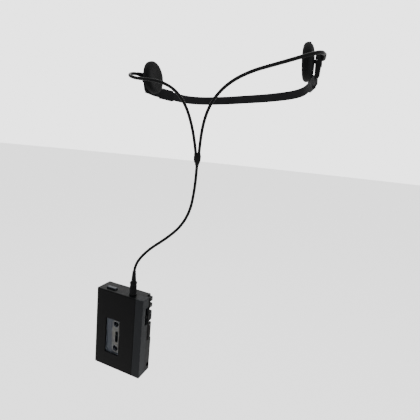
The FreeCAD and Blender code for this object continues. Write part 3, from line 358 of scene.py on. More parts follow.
def realised(tree, given, geometry, output):
    """End a tree: realize its instances and give them their material."""
    realize = tree.nodes.new("GeometryNodeRealizeInstances")
    finish = tree.nodes.new("GeometryNodeSetMaterial")
    tree.links.new(geometry, realize.inputs["Geometry"])
    tree.links.new(realize.outputs["Geometry"], finish.inputs["Geometry"])
    tree.links.new(given.outputs["Finish"], finish.inputs["Material"])
    tree.links.new(finish.outputs["Geometry"], output.inputs["Geometry"])
    return tree


ROW, RING = "Row of pieces", "Ring of pieces"


def row_tree():
    """Copies of one piece in a straight row."""
    inputs = [("Piece", "NodeSocketObject"), ("Count", "NodeSocketInt"),
              ("Start", "NodeSocketVector"), ("Step", "NodeSocketVector"),
              ("Finish", "NodeSocketMaterial")]
    tree, given, output = new_tree(ROW, inputs)
    line = tree.nodes.new("GeometryNodeMeshLine")
    line.mode = "OFFSET"
    source = tree.nodes.new("GeometryNodeObjectInfo")
    copies = tree.nodes.new("GeometryNodeInstanceOnPoints")
    tree.links.new(given.outputs["Count"], line.inputs["Count"])
    tree.links.new(given.outputs["Start"], line.inputs["Start Location"])
    tree.links.new(given.outputs["Step"], line.inputs["Offset"])
    tree.links.new(given.outputs["Piece"], source.inputs["Object"])
    tree.links.new(line.outputs["Mesh"], copies.inputs["Points"])
    tree.links.new(source.outputs["Geometry"], copies.inputs["Instance"])
    return realised(tree, given, copies.outputs["Instances"], output)


def ring_tree():
    """Copies of one piece turned about Z, then the whole ring turned and moved."""
    inputs = [("Piece", "NodeSocketObject"), ("Count", "NodeSocketInt"),
              ("Centre", "NodeSocketVector"), ("Turn", "NodeSocketVector"),
              ("Finish", "NodeSocketMaterial")]
    tree, given, output = new_tree(RING, inputs)
    line = tree.nodes.new("GeometryNodeMeshLine")
    source = tree.nodes.new("GeometryNodeObjectInfo")
    copies = tree.nodes.new("GeometryNodeInstanceOnPoints")
    number = tree.nodes.new("GeometryNodeInputIndex")
    share = tree.nodes.new("ShaderNodeMath")
    share.operation = "DIVIDE"
    angle = tree.nodes.new("ShaderNodeMath")
    angle.operation = "MULTIPLY"
    angle.inputs[1].default_value = 2 * math.pi
    spin = tree.nodes.new("ShaderNodeCombineXYZ")
    move = tree.nodes.new("GeometryNodeTransform")
    line.inputs["Offset"].default_value = (0, 0, 0)
    tree.links.new(given.outputs["Count"], line.inputs["Count"])
    tree.links.new(given.outputs["Piece"], source.inputs["Object"])
    tree.links.new(number.outputs["Index"], share.inputs[0])
    tree.links.new(given.outputs["Count"], share.inputs[1])
    tree.links.new(share.outputs[0], angle.inputs[0])
    tree.links.new(angle.outputs[0], spin.inputs["Z"])
    tree.links.new(line.outputs["Mesh"], copies.inputs["Points"])
    tree.links.new(source.outputs["Geometry"], copies.inputs["Instance"])
    tree.links.new(spin.outputs["Vector"], copies.inputs["Rotation"])
    tree.links.new(copies.outputs["Instances"], move.inputs["Geometry"])
    tree.links.new(given.outputs["Centre"], move.inputs["Translation"])
    tree.links.new(given.outputs["Turn"], move.inputs["Rotation"])
    return realised(tree, given, move.outputs["Geometry"], output)


TREES = {ROW: row_tree, RING: ring_tree}


def repeated(name, layout, bm, body, material, slot=None, replaces=(), sharp=35.0, **values):
    """A piece made of many copies of one small shape, laid out by a geometry tree."""
    tree = bpy.data.node_groups.get(layout) or TREES[layout]()
    bmesh.ops.recalc_face_normals(bm, faces=bm.faces[:])
    mesh = bpy.data.meshes.new("source")
    bm.to_mesh(mesh)
    bm.free()
    source = bpy.data.objects.new("source", mesh)
    holder = bpy.data.objects.new("holder", bpy.data.meshes.new("holder"))
    for obj in (source, holder):
        bpy.context.scene.collection.objects.link(obj)
    modifier = holder.modifiers.new("Repeat", "NODES")
    modifier.node_group = tree
    given = {"Piece": source, "Finish": material, **values}
    for item in tree.interface.items_tree:
        if item.in_out == "INPUT":
            modifier[item.identifier] = given[item.name]
    laid_out = plain_mesh(holder)
    bpy.data.objects.remove(source)
    return place(name, laid_out, material, body, replaces, sharp)


# -------------------------------------------------------------- materials ----
class Finish:
    """A material being built on Object coordinates, in metres."""

    def __init__(self, name, colour, roughness, metallic=0.0, gloss=0.035):
        self.material = bpy.data.materials.new(name)
        self.material.use_nodes = True
        self.tree = self.material.node_tree
        self.shader = self.tree.nodes["Principled BSDF"]
        self.set("Base Color", (*colour, 1.0))
        self.set("Roughness", roughness)
        self.set("Metallic", metallic)
        self.set("Specular IOR Level", gloss)
        self.colour = Vector(colour)
        self.place = self.add("ShaderNodeTexCoord").outputs["Object"]

    def set(self, socket, value):
        """Give one of the shader's own sockets a value that is the same all over."""
        self.shader.inputs[socket].default_value = value

    def add(self, kind, **settings):
        node = self.tree.nodes.new(kind)
        for key, value in settings.items():
            setattr(node, key, value)
        return node

    def link(self, source, target):
        self.tree.links.new(source, target)

    def stretched(self, x, y, z):
        """The place scaled along each axis, for brushed and drawn surfaces."""
        node = self.add("ShaderNodeMapping")
        node.inputs["Scale"].default_value = (x, y, z)
        self.link(self.place, node.inputs["Vector"])
        return node.outputs["Vector"]

    def noise(self, scale, detail=3.0, where=None):
        """Cloudy noise, with its scale in cycles a metre."""
        node = self.add("ShaderNodeTexNoise")
        node.inputs["Scale"].default_value = scale
        node.inputs["Detail"].default_value = detail
        self.link(where or self.place, node.inputs["Vector"])
        return node.outputs[0]

    def cells(self, scale, feature="F1"):
        """Distances in a pattern of cells, with its scale in cells a metre."""
        node = self.add("ShaderNodeTexVoronoi", feature=feature)
        node.inputs["Scale"].default_value = scale
        self.link(self.place, node.inputs["Vector"])
        return node.outputs["Distance"]

    def ranged(self, value, low, high, to_low=0.0, to_high=1.0):
        """A value's range stretched onto another and clamped to it."""
        node = self.add("ShaderNodeMapRange")
        for label, number in (("From Min", low), ("From Max", high), ("To Min", to_low),
                              ("To Max", to_high)):
            node.inputs[label].default_value = number
        self.link(value, node.inputs["Value"])
        return node.outputs["Result"]

    def maths(self, operation, first, second):
        node = self.add("ShaderNodeMath", operation=operation)
        for socket, value in zip(node.inputs, (first, second)):
            if isinstance(value, (int, float)):
                socket.default_value = value
            else:
                self.link(value, socket)
        return node.outputs[0]

    def mixed(self, factor, first, second):
        """A colour between two colours or colour sockets."""
        node = self.add("ShaderNodeMix", data_type="RGBA")
        self.link(factor, node.inputs["Factor"])
        for socket, value in ((node.inputs[6], first), (node.inputs[7], second)):
            if isinstance(value, bpy.types.NodeSocket):
                self.link(value, socket)
            else:
                socket.default_value = (*value, 1.0)
        return node.outputs[2]

    def paint(self, colour_socket):
        self.link(colour_socket, self.shader.inputs["Base Color"])

    def patchy(self, amount, scale, detail=4.0):
        """Colour that wanders a little darker and lighter over the surface."""
        factor = self.ranged(self.noise(scale, detail), 0.35, 0.65)
        return self.mixed(factor, self.colour * (1 - amount), self.colour * (1 + amount))

    def handled(self, low, high, scale):
        """Roughness that varies as on a surface that is handled."""
        value = self.ranged(self.noise(scale, 5.0), 0.3, 0.7, low, high)
        self.link(value, self.shader.inputs["Roughness"])

    def relief(self, height, depth, strength=1.0):
        """Add one layer of bump, depth in metres, over what is there."""
        node = self.add("ShaderNodeBump")
        node.inputs["Distance"].default_value = depth
        node.inputs["Strength"].default_value = strength
        self.link(height, node.inputs["Height"])
        below = self.shader.inputs["Normal"].links
        if below:
            self.link(below[0].from_socket, node.inputs["Normal"])
        self.link(node.outputs["Normal"], self.shader.inputs["Normal"])

    def edges_of_box(self, middle, half, width):
        """A mask that is high along the edges of a box."""
        offset = self.add("ShaderNodeVectorMath", operation="SUBTRACT")
        offset.inputs[1].default_value = middle
        self.link(self.place, offset.inputs[0])
        size = self.add("ShaderNodeVectorMath", operation="ABSOLUTE")
        self.link(offset.outputs[0], size.inputs[0])
        parts = self.add("ShaderNodeSeparateXYZ")
        self.link(size.outputs[0], parts.inputs[0])
        near = [self.ranged(parts.outputs[k], half[k] - width, half[k]) for k in range(3)]
        pairs = [self.maths("MULTIPLY", near[a], near[b]) for a, b in ((0, 1), (1, 2), (0, 2))]
        return self.maths("ADD", self.maths("ADD", pairs[0], pairs[1]), pairs[2])


def moulded(name, colour, roughness=0.42, grain=2400.0, depth=0.035 * MM, patch=0.06,
            gloss=0.035):
    """Moulded plastic with a fine spark-eroded grain and handling marks."""
    finish = Finish(name, colour, roughness, gloss=gloss)
    finish.paint(finish.patchy(patch, 55.0))
    finish.handled(roughness - 0.07, roughness + 0.08, 90.0)
    finish.relief(finish.noise(grain, 2.0), depth, 0.6)
    finish.relief(finish.noise(140.0, 2.0), 0.05 * MM, 0.15)
    return finish


def case_plastic(settings):
    """The shells' moulded plastic, rubbed lighter along the player's edges."""
    finish = moulded("case_plastic_finish", settings.shell, 0.40)
    worn = finish.edges_of_box(PLAYER_MIDDLE, PLAYER_HALF, 0.8 * MM)
    chafed = finish.maths("MULTIPLY", worn, finish.ranged(finish.noise(600.0, 4.0), 0.42, 0.66))
    plain = finish.shader.inputs["Base Color"].links[0].from_socket
    finish.paint(finish.mixed(chafed, plain, finish.colour * 2.1))
    return finish.material


def satin_paint(name, colour, bare, roughness):
    """Sprayed satin paint on sheet metal, rubbed thin along the case's edges."""
    finish = Finish(name, colour, roughness)
    worn = finish.edges_of_box(PLAYER_MIDDLE, PLAYER_HALF, 0.7 * MM)
    chafed = finish.maths("MULTIPLY", worn, finish.ranged(finish.noise(500.0, 5.0), 0.46, 0.62))
    finish.paint(finish.mixed(chafed, finish.patchy(0.05, 40.0), bare))
    finish.handled(roughness - 0.06, roughness + 0.07, 60.0)
    finish.relief(finish.noise(1100.0, 3.0), 0.02 * MM, 0.5)
    scratches = finish.noise(160.0, 6.0, finish.stretched(1.0, 1.0, 9.0))
    finish.relief(finish.ranged(scratches, 0.62, 0.70), 0.01 * MM, 0.35)
    return finish.material


def clear_window():
    """Clear acrylic with a cool tint and a few hairline scratches."""
    finish = Finish("window_finish", (0.03, 0.034, 0.042), 0.06, gloss=0.03)
    finish.set("Alpha", 0.08)
    finish.set("IOR", 1.49)
    hairlines = finish.noise(240.0, 4.0, finish.stretched(0.6, 1.0, 5.0))
    finish.relief(finish.ranged(hairlines, 0.66, 0.72), 0.01 * MM, 0.3)
    finish.handled(0.06, 0.14, 120.0)
    return finish.material


def label_paper(settings):
    """Printed paper: fibres, a darker rule inside the rim and slight yellowing."""
    finish = Finish("label_finish", settings.label, 0.6)
    low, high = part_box("cassette_label")
    rule = finish.edges_of_box((low + high) / 2, ((high - low) / 2 - Vector((0.9, 0, 0.9)) * MM),
                               0.35 * MM)
    aged = finish.mixed(finish.ranged(finish.noise(120.0, 5.0), 0.35, 0.7), finish.colour,
                        Vector((1.22, 1.17, 1.06)) * finish.colour.x)
    finish.paint(finish.mixed(finish.ranged(rule, 0.9, 1.4, 0.0, 0.25), aged,
                              finish.colour * 0.4))
    finish.relief(finish.noise(5200.0, 3.0), 0.02 * MM, 0.5)
    return finish.material


def drawn_metal(name, colour, roughness, direction, wear=0.10):
    """Rolled or drawn metal with grain along one direction, in metres."""
    finish = Finish(name, colour, roughness, 1.0)
    grain = finish.noise(420.0, 5.0, finish.stretched(*direction))
    finish.paint(finish.mixed(finish.ranged(grain, 0.3, 0.7), finish.colour * (1 - wear),
                              finish.colour * (1 + wear)))
    value = finish.ranged(grain, 0.3, 0.7, roughness - 0.06, roughness + 0.10)
    finish.link(value, finish.shader.inputs["Roughness"])
    finish.relief(grain, 0.008 * MM, 0.5)
    return finish.material


def plated(name, colour, roughness):
    """Bright plating with faint handling haze."""
    finish = Finish(name, colour, roughness, 1.0)
    finish.handled(roughness, roughness + 0.12, 300.0)
    finish.relief(finish.noise(900.0, 2.0), 0.004 * MM, 0.3)
    return finish.material


def soft_rubber(name, colour, roughness=0.62):
    """Dull rubber with a powdery bloom."""
    finish = Finish(name, colour, roughness)
    finish.paint(finish.patchy(0.15, 260.0))
    finish.handled(roughness - 0.08, roughness + 0.08, 300.0)
    finish.relief(finish.noise(3200.0, 2.0), 0.03 * MM, 0.5)
    return finish.material


def circuit_laminate():
    """Green solder mask over copper lands."""
    finish = Finish("laminate_finish", (0.020, 0.075, 0.030), 0.35)
    lands = finish.ranged(finish.cells(420.0, "DISTANCE_TO_EDGE"), 0.02, 0.05)
    finish.paint(finish.mixed(lands, (0.055, 0.16, 0.06), finish.colour))
    finish.relief(lands, 0.03 * MM, 0.6)
    return finish.material


def cell_jacket():
    """A plain two-tone printed jacket round each cell."""
    finish = Finish("cell_finish", (0.10, 0.085, 0.05), 0.30, 0.4)
    low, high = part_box("battery_cells")
    parts = finish.add("ShaderNodeSeparateXYZ")
    finish.link(finish.place, parts.inputs[0])
    band = low.x + (high.x - low.x) * 0.72
    tone = finish.ranged(parts.outputs[0], band, band + 0.1 * MM)
    finish.paint(finish.mixed(tone, (0.016, 0.016, 0.018), (0.36, 0.22, 0.07)))
    finish.relief(finish.noise(900.0, 3.0), 0.01 * MM, 0.4)
    return finish.material


def ear_foam(settings):
    """Open-cell foam: pores, crumbs and a dull sheen, with painted shade in the pores."""
    finish = Finish("foam_finish", settings.foam, 0.93)
    pores = finish.cells(1500.0)
    crumbs = finish.noise(800.0, 5.0)
    # Painted shade and light: the colour is darker in the pores and lighter on the cell walls
    # between them.
    finish.paint(finish.mixed(finish.ranged(pores, 0.12, 0.55), finish.colour * 0.45,
                              finish.colour * 1.7))
    finish.relief(pores, 0.35 * MM, 0.9)
    finish.relief(crumbs, 0.25 * MM, 0.5)
    finish.set("Sheen Weight", 0.03)
    finish.set("Sheen Roughness", 0.6)
    return finish.material


def cord_vinyl(settings):
    """Flexible vinyl: drawn skin with slow changes of gloss."""
    finish = Finish("vinyl_finish", settings.vinyl, 0.36)
    finish.paint(finish.patchy(0.18, 130.0))
    finish.handled(0.30, 0.46, 150.0)
    finish.relief(finish.noise(1500.0, 3.0), 0.02 * MM, 0.5)
    finish.relief(finish.noise(220.0, 2.0), 0.06 * MM, 0.25)
    return finish.material


def band_coat(settings):
    """Baked black coat over spring steel."""
    finish = Finish("band_finish", settings.band, 0.7, gloss=0.012)
    finish.paint(finish.patchy(0.12, 60.0))
    finish.handled(0.62, 0.78, 70.0)
    finish.relief(finish.noise(1300.0, 3.0), 0.015 * MM, 0.5)
    return finish.material


def make_finishes(scene):
    """Every material, by its slot in the record."""
    case, controls = scene.case_settings, scene.control_settings
    headset, cords = scene.headset_settings, scene.cord_settings
    cassette = moulded("cassette_finish", case.cassette, 0.34, 1700.0, 0.02 * MM, 0.08)
    key = moulded("key_finish", controls.key, 0.36, 2000.0, 0.02 * MM)
    dark_key = moulded("dark_key_finish", controls.dark_key, 0.36, 2000.0, 0.02 * MM)
    hub = moulded("hub_finish", (0.0006, 0.0006, 0.0006), 0.6, gloss=0.0)
    slider = moulded("slider_finish", (0.0012, 0.0012, 0.0013), 0.45)
    headset_plastic = moulded("headset_finish", headset.moulding, 0.62, 2600.0, gloss=0.012)
    mark = moulded("mark_finish", controls.mark, 0.5, 3000.0, 0.01 * MM)
    ring = moulded("ring_finish", tuple(1.25 * c for c in case.label), 0.4, 2500.0, 0.01 * MM)
    tape = moulded("tape_finish", (0.008, 0.005, 0.0035), 0.22, 1500.0, 0.008 * MM)
    return {
        "case_plastic": case_plastic(case),
        "cover_paint": satin_paint("cover_finish", case.cover, (0.05, 0.052, 0.054), 0.40),
        "door_paint": satin_paint("door_finish", case.door, (0.022, 0.022, 0.023), 0.38),
        "window_clear": clear_window(),
        "cassette_plastic": cassette.material,
        "label_paper": label_paper(case),
        "hub_plastic": hub.material,
        "tape": tape.material,
        "ring": ring.material,
        "mark": mark.material,
        "mechanism_steel": drawn_metal("steel_finish", (0.55, 0.55, 0.56), 0.34, (1, 1, 0.06)),
        "brass_turned": drawn_metal("brass_finish", (0.62, 0.44, 0.19), 0.28, (1, 0.1, 1)),
        "belt_rubber": soft_rubber("rubber_finish", (0.014, 0.014, 0.014)),
        "screw_steel": plated("screw_finish", (0.20, 0.20, 0.21), 0.30),
        "board_laminate": circuit_laminate(),
        "cell_jacket": cell_jacket(),
        "key_plastic": key.material,
        "key_plastic_dark": dark_key.material,
        "button_silver": drawn_metal("button_finish", controls.button, 0.42, (0.08, 1, 1), 0.06),
        "slider_black": slider.material,
        "plug_plated": plated("plug_finish", (0.78, 0.76, 0.72), 0.14),
        "cord_vinyl": cord_vinyl(cords),
        "band_steel": band_coat(headset),
        "headset_plastic": headset_plastic.material,
        "driver_metal": drawn_metal("driver_finish", (0.24, 0.24, 0.25), 0.4, (1, 1, 1)),
        "ear_foam": ear_foam(headset),
    }


FINISHES = {}


# -------------------------------------------------------------- operators ----
class PLAYER_OT_stage(bpy.types.Operator):
    """Camera, floor and lights"""
    bl_idname = "player.stage"
    bl_label = "Stage"

    def execute(self, context):
        settings = context.scene.stage_settings
        camera = bpy.data.objects.new("camera", bpy.data.cameras.new("camera"))
        context.scene.collection.objects.link(camera)
        look = Vector(CAMERA_LOOK).normalized()
        right = Vector(CAMERA_RIGHT)
        right = (right - look * right.dot(look)).normalized()
        turn = Matrix((right, right.cross(look), -look)).transposed().to_4x4()
        camera.matrix_world = Matrix.Translation(CAMERA_PLACE) @ turn
        camera.data.sensor_width = 36.0
        camera.data.lens = CAMERA_LENS
        camera.data.clip_start = 0.01
        context.scene.camera = camera
        self.floor(context, settings)
        self.light(context, "top_light", (0.10, -0.25, 1.5), 1.6, settings.top_light)
        self.light(context, "side_light", (1.5, -0.7, 0.7), 1.1, settings.side_light)
        self.surroundings(context, settings)
        return {"FINISHED"}

    def surroundings(self, context, settings):
        """White all round, bright behind the player and dimmer in front of it."""
        world = bpy.data.worlds.new("surroundings")
        world.use_nodes = True
        shade = world.node_tree.nodes["Background"]
        shade.inputs["Color"].default_value = (1.0, 1.0, 1.0, 1.0)
        direction = world.node_tree.nodes.new("ShaderNodeTexCoord").outputs["Generated"]
        parts = world.node_tree.nodes.new("ShaderNodeSeparateXYZ")
        level = world.node_tree.nodes.new("ShaderNodeMapRange")
        level.inputs["From Min"].default_value = -0.15
        level.inputs["From Max"].default_value = 0.5
        level.inputs["To Min"].default_value = settings.front
        level.inputs["To Max"].default_value = settings.world
        world.node_tree.links.new(direction, parts.inputs[0])
        world.node_tree.links.new(parts.outputs["Y"], level.inputs["Value"])
        world.node_tree.links.new(level.outputs["Result"], shade.inputs["Strength"])
        context.scene.world = world

    def floor(self, context, settings):
        """A wide pale disc under the player."""
        bm = bmesh.new()
        bmesh.ops.create_circle(bm, cap_ends=True, segments=96, radius=30.0)
        mesh = bpy.data.meshes.new("floor")
        bm.to_mesh(mesh)
        bm.free()
        mesh.transform(Matrix.Translation((0, 0, BOTTOM - settings.floor_drop)))
        floor = bpy.data.objects.new("floor", mesh)
        finish = Finish("floor_finish", settings.floor, 0.9, gloss=0.0)
        mesh.materials.append(finish.material)
        context.scene.collection.objects.link(floor)

    def light(self, context, name, position, size, power):
        """A round soft light turned to the middle of the object."""
        lamp = bpy.data.lights.new(name, "AREA")
        lamp.shape = "DISK"
        lamp.size = size
        lamp.energy = power
        obj = bpy.data.objects.new(name, lamp)
        obj.matrix_world = towards(position, Vector(position) - LIT_MIDDLE)
        context.scene.collection.objects.link(obj)


class PLAYER_OT_cords(bpy.types.Operator):
    """The forked cord: one length from the plug to the fork and one to each ear"""
    bl_idname = "player.cords"
    bl_label = "Cords"

    def execute(self, context):
        radius = context.scene.cord_settings.diameter / 2
        main = smooth_curve("main_lead", MAIN_ROUTE, radius)
        context.scene.collection.objects.link(main)
        main.data.materials.append(FINISHES["cord_vinyl"])
        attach(main, "headphones")
        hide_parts("main_cord")
        for side, route in (("left", LEFT_ROUTE), ("right", RIGHT_ROUTE)):
            self.ear_lead(side, route, radius)
        return {"FINISHED"}

    def ear_lead(self, side, route, radius):
        """A tube along the route's smooth spline, ending at the ear's slider."""
        points = spline_points(route)
        bm = bmesh.new()
        tube(bm, points, radius)
        mesh = bpy.data.meshes.new(side + "_lead")
        bmesh.ops.recalc_face_normals(bm, faces=bm.faces[:])
        bm.to_mesh(mesh)
        bm.free()
        mesh.shade_smooth()
        mesh.set_sharp_from_angle(angle=math.radians(50))
        mesh.materials.append(FINISHES["cord_vinyl"])
        lead = bpy.data.objects.new(side + "_lead", mesh)
        bpy.context.scene.collection.objects.link(lead)
        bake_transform(lead)
        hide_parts(side + "_cord")


class PLAYER_OT_plug(bpy.types.Operator):
    """Moulded plug with grip flutes, ringed relief and plated contacts"""
    bl_idname = "player.plug"
    bl_label = "Plug"

    def execute(self, context):
        settings = context.scene.cord_settings
        low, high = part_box("plug_body")
        centre = (low + high) / 2
        base = Vector((centre.x, centre.y, low.z))
        tall = high.z - low.z
        vinyl = FINISHES["cord_vinyl"]
        bm = bmesh.new()
        profile = [(0, 0), (0, 4.9), (0.15, 5.45), (0.6, 5.8), (1.3, 5.9), (2.2, 5.87),
                   (2.4, 5.5), (2.7, 5.3), (16.2, 4.75), (16.6, 4.85), (17.0, 5.2),
                   (18.6, 5.15), (19.0, 5.3), (19.3, 5.65), (20.9, 5.7), (21.3, 5.45),
                   (21.5, 4.9), (21.5, 0)]
        scale = tall / (21.5 * MM)
        lathe(bm, [(h * MM * scale, r * MM) for h, r in profile], 64, Matrix.Translation(base))
        body = piece("plug_moulding", bm, vinyl, "headphones", ("plug_body",))
        bm = bmesh.new()
        rounded_box(bm, (4.5 * MM, -0.33 * MM, 3.2 * MM), (5.42 * MM, 0.33 * MM, 15.9 * MM),
                    0.28 * MM)
        flutes = repeated("plug_flutes", RING, bm, "headphones", vinyl, "cord_vinyl",
                          Count=settings.flutes, Centre=base, Turn=(0, 0, 0))
        pieces = [body, flutes, self.relief(settings, vinyl), self.contacts(base)]
        self.declare(context, pieces)
        return {"FINISHED"}

    def relief(self, settings, vinyl):
        """A tapering boot with rings along it."""
        low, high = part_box("plug_relief")
        base = Vector(((low.x + high.x) / 2, (low.y + high.y) / 2, low.z))
        tall = high.z - low.z + 1.2 * MM
        wide, narrow = 4.0 * MM, 2.75 * MM
        profile = [(0, 0), (0, wide)]
        first, pitch = 2.0 * MM, (tall - 4.0 * MM) / settings.rings
        for i in range(settings.rings):
            for share, depth in ((0.0, 0.0), (0.42, 0.0), (0.5, 0.5), (0.92, 0.5)):
                h = first + (i + share) * pitch
                taper = wide + (narrow - wide) * h / tall
                profile.append((h, taper - depth * MM))
        profile += [(tall - 1.6 * MM, narrow + 0.1 * MM), (tall - 0.3 * MM, narrow),
                    (tall, narrow - 0.3 * MM), (tall, 0)]
        bm = bmesh.new()
        lathe(bm, profile, 40, Matrix.Translation(base))
        return piece("plug_boot", bm, vinyl, "headphones", ("plug_relief",))

    def contacts(self, base):
        """Tip, ring and sleeve, parted by black washers."""
        low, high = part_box("plug_shaft")
        tall = high.z - low.z
        profile = [(0, 0), (0.0, 0.35), (0.35, 0.95), (1.3, 1.55), (2.1, 1.75), (2.7, 1.7),
                   (3.4, 1.3), (4.0, 1.3), (4.4, 1.7), (4.7, 1.7), (4.7, 1.66), (5.4, 1.66),
                   (5.4, 1.75), (7.4, 1.75), (7.4, 1.66), (8.1, 1.66), (8.1, 1.75)]
        turned = [(h * MM, r * MM) for h, r in profile] + [(tall + 0.4 * MM, 1.75 * MM),
                                                          (tall + 0.4 * MM, 0)]
        bm = bmesh.new()
        lathe(bm, turned, 40, Matrix.Translation((base.x, base.y, low.z)))
        shaft = piece("plug_contacts", bm, FINISHES["plug_plated"], "headphones",
                      ("plug_shaft",))
        shaft.data.materials.append(FINISHES["hub_plastic"])
        for polygon in shaft.data.polygons:
            height = polygon.center.z - low.z
            if 4.75 * MM < height < 5.35 * MM or 7.45 * MM < height < 8.05 * MM:
                polygon.material_index = 1
        return shaft

    def declare(self, context, pieces):
        """Read the main lead's spline points; nothing further is done with them."""
        points = spline_points(MAIN_ROUTE)


class PLAYER_OT_fork(bpy.types.Operator):
    """The moulding where the cord divides, with a collar round each lead"""
    bl_idname = "player.fork"
    bl_label = "Fork"

    def execute(self, context):
        low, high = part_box("cord_splitter")
        centre = (low + high) / 2
        half = (high - low) / 2
        start = Vector(MAIN_ROUTE[-1])
        sections = [  # share of the height, half width, half thickness, share of the way over
            (-0.22, 0.0, 0.0, 0.0), (-0.22, 2.35, 2.35, 0.0), (-0.20, 2.75, 2.75, 0.0),
            (0.02, 3.05, 2.95, 0.1), (0.12, 3.9, 3.05, 0.5), (0.26, 4.8, 3.15, 0.9),
            (0.45, 5.35, 3.25, 1.0), (0.86, 5.5, 3.3, 1.0), (0.95, 5.35, 3.1, 1.0),
            (1.0, 5.0, 2.7, 1.0), (1.0, 0.0, 0.0, 1.0),
        ]
        steps = 40
        bm = bmesh.new()
        rings = []
        for share, wide, thick, over in sections:
            z = low.z + share * 2 * half.z
            x = start.x + (centre.x - start.x) * over
            y = start.y + (centre.y - start.y) * over
            if wide == 0:
                rings.append([bm.verts.new((x, y, z))] * steps)
                continue
            ring = []
            for i in range(steps):
                a = 2 * math.pi * i / steps
                ring.append(bm.verts.new((x + wide * MM * self.full(math.cos(a)),
                                          y + thick * MM * self.full(math.sin(a)), z)))
            rings.append(ring)
        for lower, upper in zip(rings, rings[1:]):
            for i in range(steps):
                j = (i + 1) % steps
                corners = [lower[i], lower[j], upper[j], upper[i]]
                bm.faces.new(list(dict.fromkeys(corners)))
        for route in (LEFT_ROUTE, RIGHT_ROUTE):
            out = Vector(route[1]) - Vector(route[0])
            collar = [(-1.0, 0), (-1.0, 2.9), (1.0, 2.85), (1.6, 2.75), (1.6, 2.45), (2.0, 2.45),
                      (2.0, 2.7), (2.9, 2.6), (3.2, 2.35), (3.2, 0)]
            lathe(bm, [(h * MM, r * MM) for h, r in collar], 32, towards(route[0], out))
        piece("fork_moulding", bm, FINISHES["cord_vinyl"], "headphones", ("cord_splitter",))
        return {"FINISHED"}

    def full(self, value):
        """Fuller than a circle's sine, for a section between an oval and a rectangle."""
        return math.copysign(abs(value) ** 0.8, value)


class PLAYER_OT_shells(bpy.types.Operator):
    """Front, rear and strip mouldings, with rounded edges along every seam"""
    bl_idname = "player.shells"
    bl_label = "Shells"

    def execute(self, context):
        edge = context.scene.case_settings.edge
        for name, node, slot in (("front_shell", "front_case", "case_plastic"),
                                 ("rear_shell", "rear_case", "case_plastic"),
                                 ("key_side_cover", "control_cover", "cover_paint")):
            rounded_copy(name, node, "player", FINISHES[slot], edge)
        return {"FINISHED"}


class PLAYER_OT_door(bpy.types.Operator):
    """Cassette door with a sloping window frame, its pane and a tape arrow"""
    bl_idname = "player.door"
    bl_label = "Door"

    def execute(self, context):
        settings = context.scene.case_settings
        low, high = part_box("door_panel")
        inner_low, inner_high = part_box("door_window")
        bm = bmesh.new()
        rims = []
        for a, b in ((low, high), (inner_low, inner_high)):
            corners = [(a.x, a.z), (b.x, a.z), (b.x, b.z), (a.x, b.z)]
            for y in (low.y, high.y):
                rims.append([bm.verts.new((x, y, z)) for x, z in corners])
        outer_front, outer_back, inner_front, inner_back = rims
        for i in range(4):
            j = (i + 1) % 4
            bm.faces.new((outer_front[i], outer_front[j], inner_front[j], inner_front[i]))
            bm.faces.new((outer_back[i], inner_back[i], inner_back[j], outer_back[j]))
            bm.faces.new((outer_front[i], outer_back[i], outer_back[j], outer_front[j]))
            bm.faces.new((inner_front[i], inner_front[j], inner_back[j], inner_back[i]))
        corners = [bm.edges.get((inner_front[i], inner_back[i])) for i in range(4)]
        outer = [bm.edges.get((outer_front[i], outer_front[(i + 1) % 4])) for i in range(4)]
        bmesh.ops.bevel(bm, geom=corners, offset=0.8 * MM, segments=4, affect="EDGES")
        frame_edges = [edge for edge in bm.edges
                       if self.on_frame(edge, low, inner_low, inner_high)]
        bmesh.ops.bevel(bm, geom=frame_edges, offset=settings.window_bevel, segments=1,
                        affect="EDGES")
        outer = [edge for edge in outer if edge.is_valid]
        bmesh.ops.bevel(bm, geom=outer, offset=0.45 * MM, segments=3, affect="EDGES")
        piece("door_face", bm, FINISHES["door_paint"], "door", ("door_panel",))
        rounded_copy("window_pane", "door_window", "door", FINISHES["window_clear"], 0.15 * MM)
        self.tape_arrow(low)
        return {"FINISHED"}

    def on_frame(self, edge, low, inner_low, inner_high):
        """Whether an edge lies on the window's opening in the front face."""
        reach = 0.1 * MM
        for vert in edge.verts:
            spot = vert.co
            inside = (inner_low.x - reach < spot.x < inner_high.x + reach
                      and inner_low.z - reach < spot.z < inner_high.z + reach)
            if abs(spot.y - low.y) > 1e-6 or not inside:
                return False
        return True

    def tape_arrow(self, low):
        """A slim printed arrow, up along the tape's run."""
        face = Matrix.Translation((15.0 * MM, low.y, -9.7 * MM)) @ Matrix.Rotation(
            math.radians(90), 4, "X")
        shaft, head, tall = 0.35 * MM, 2.1 * MM, 5.2 * MM
        outline = [(-shaft, -tall), (shaft, -tall), (shaft, tall - 3.4 * MM),
                   (head, tall - 3.4 * MM), (0, tall), (-head, tall - 3.4 * MM),
                   (-shaft, tall - 3.4 * MM)]
        bm = bmesh.new()
        prism(bm, outline, -0.02 * MM, 0.04 * MM, face)
        piece("tape_arrow", bm, FINISHES["case_plastic"], "door")


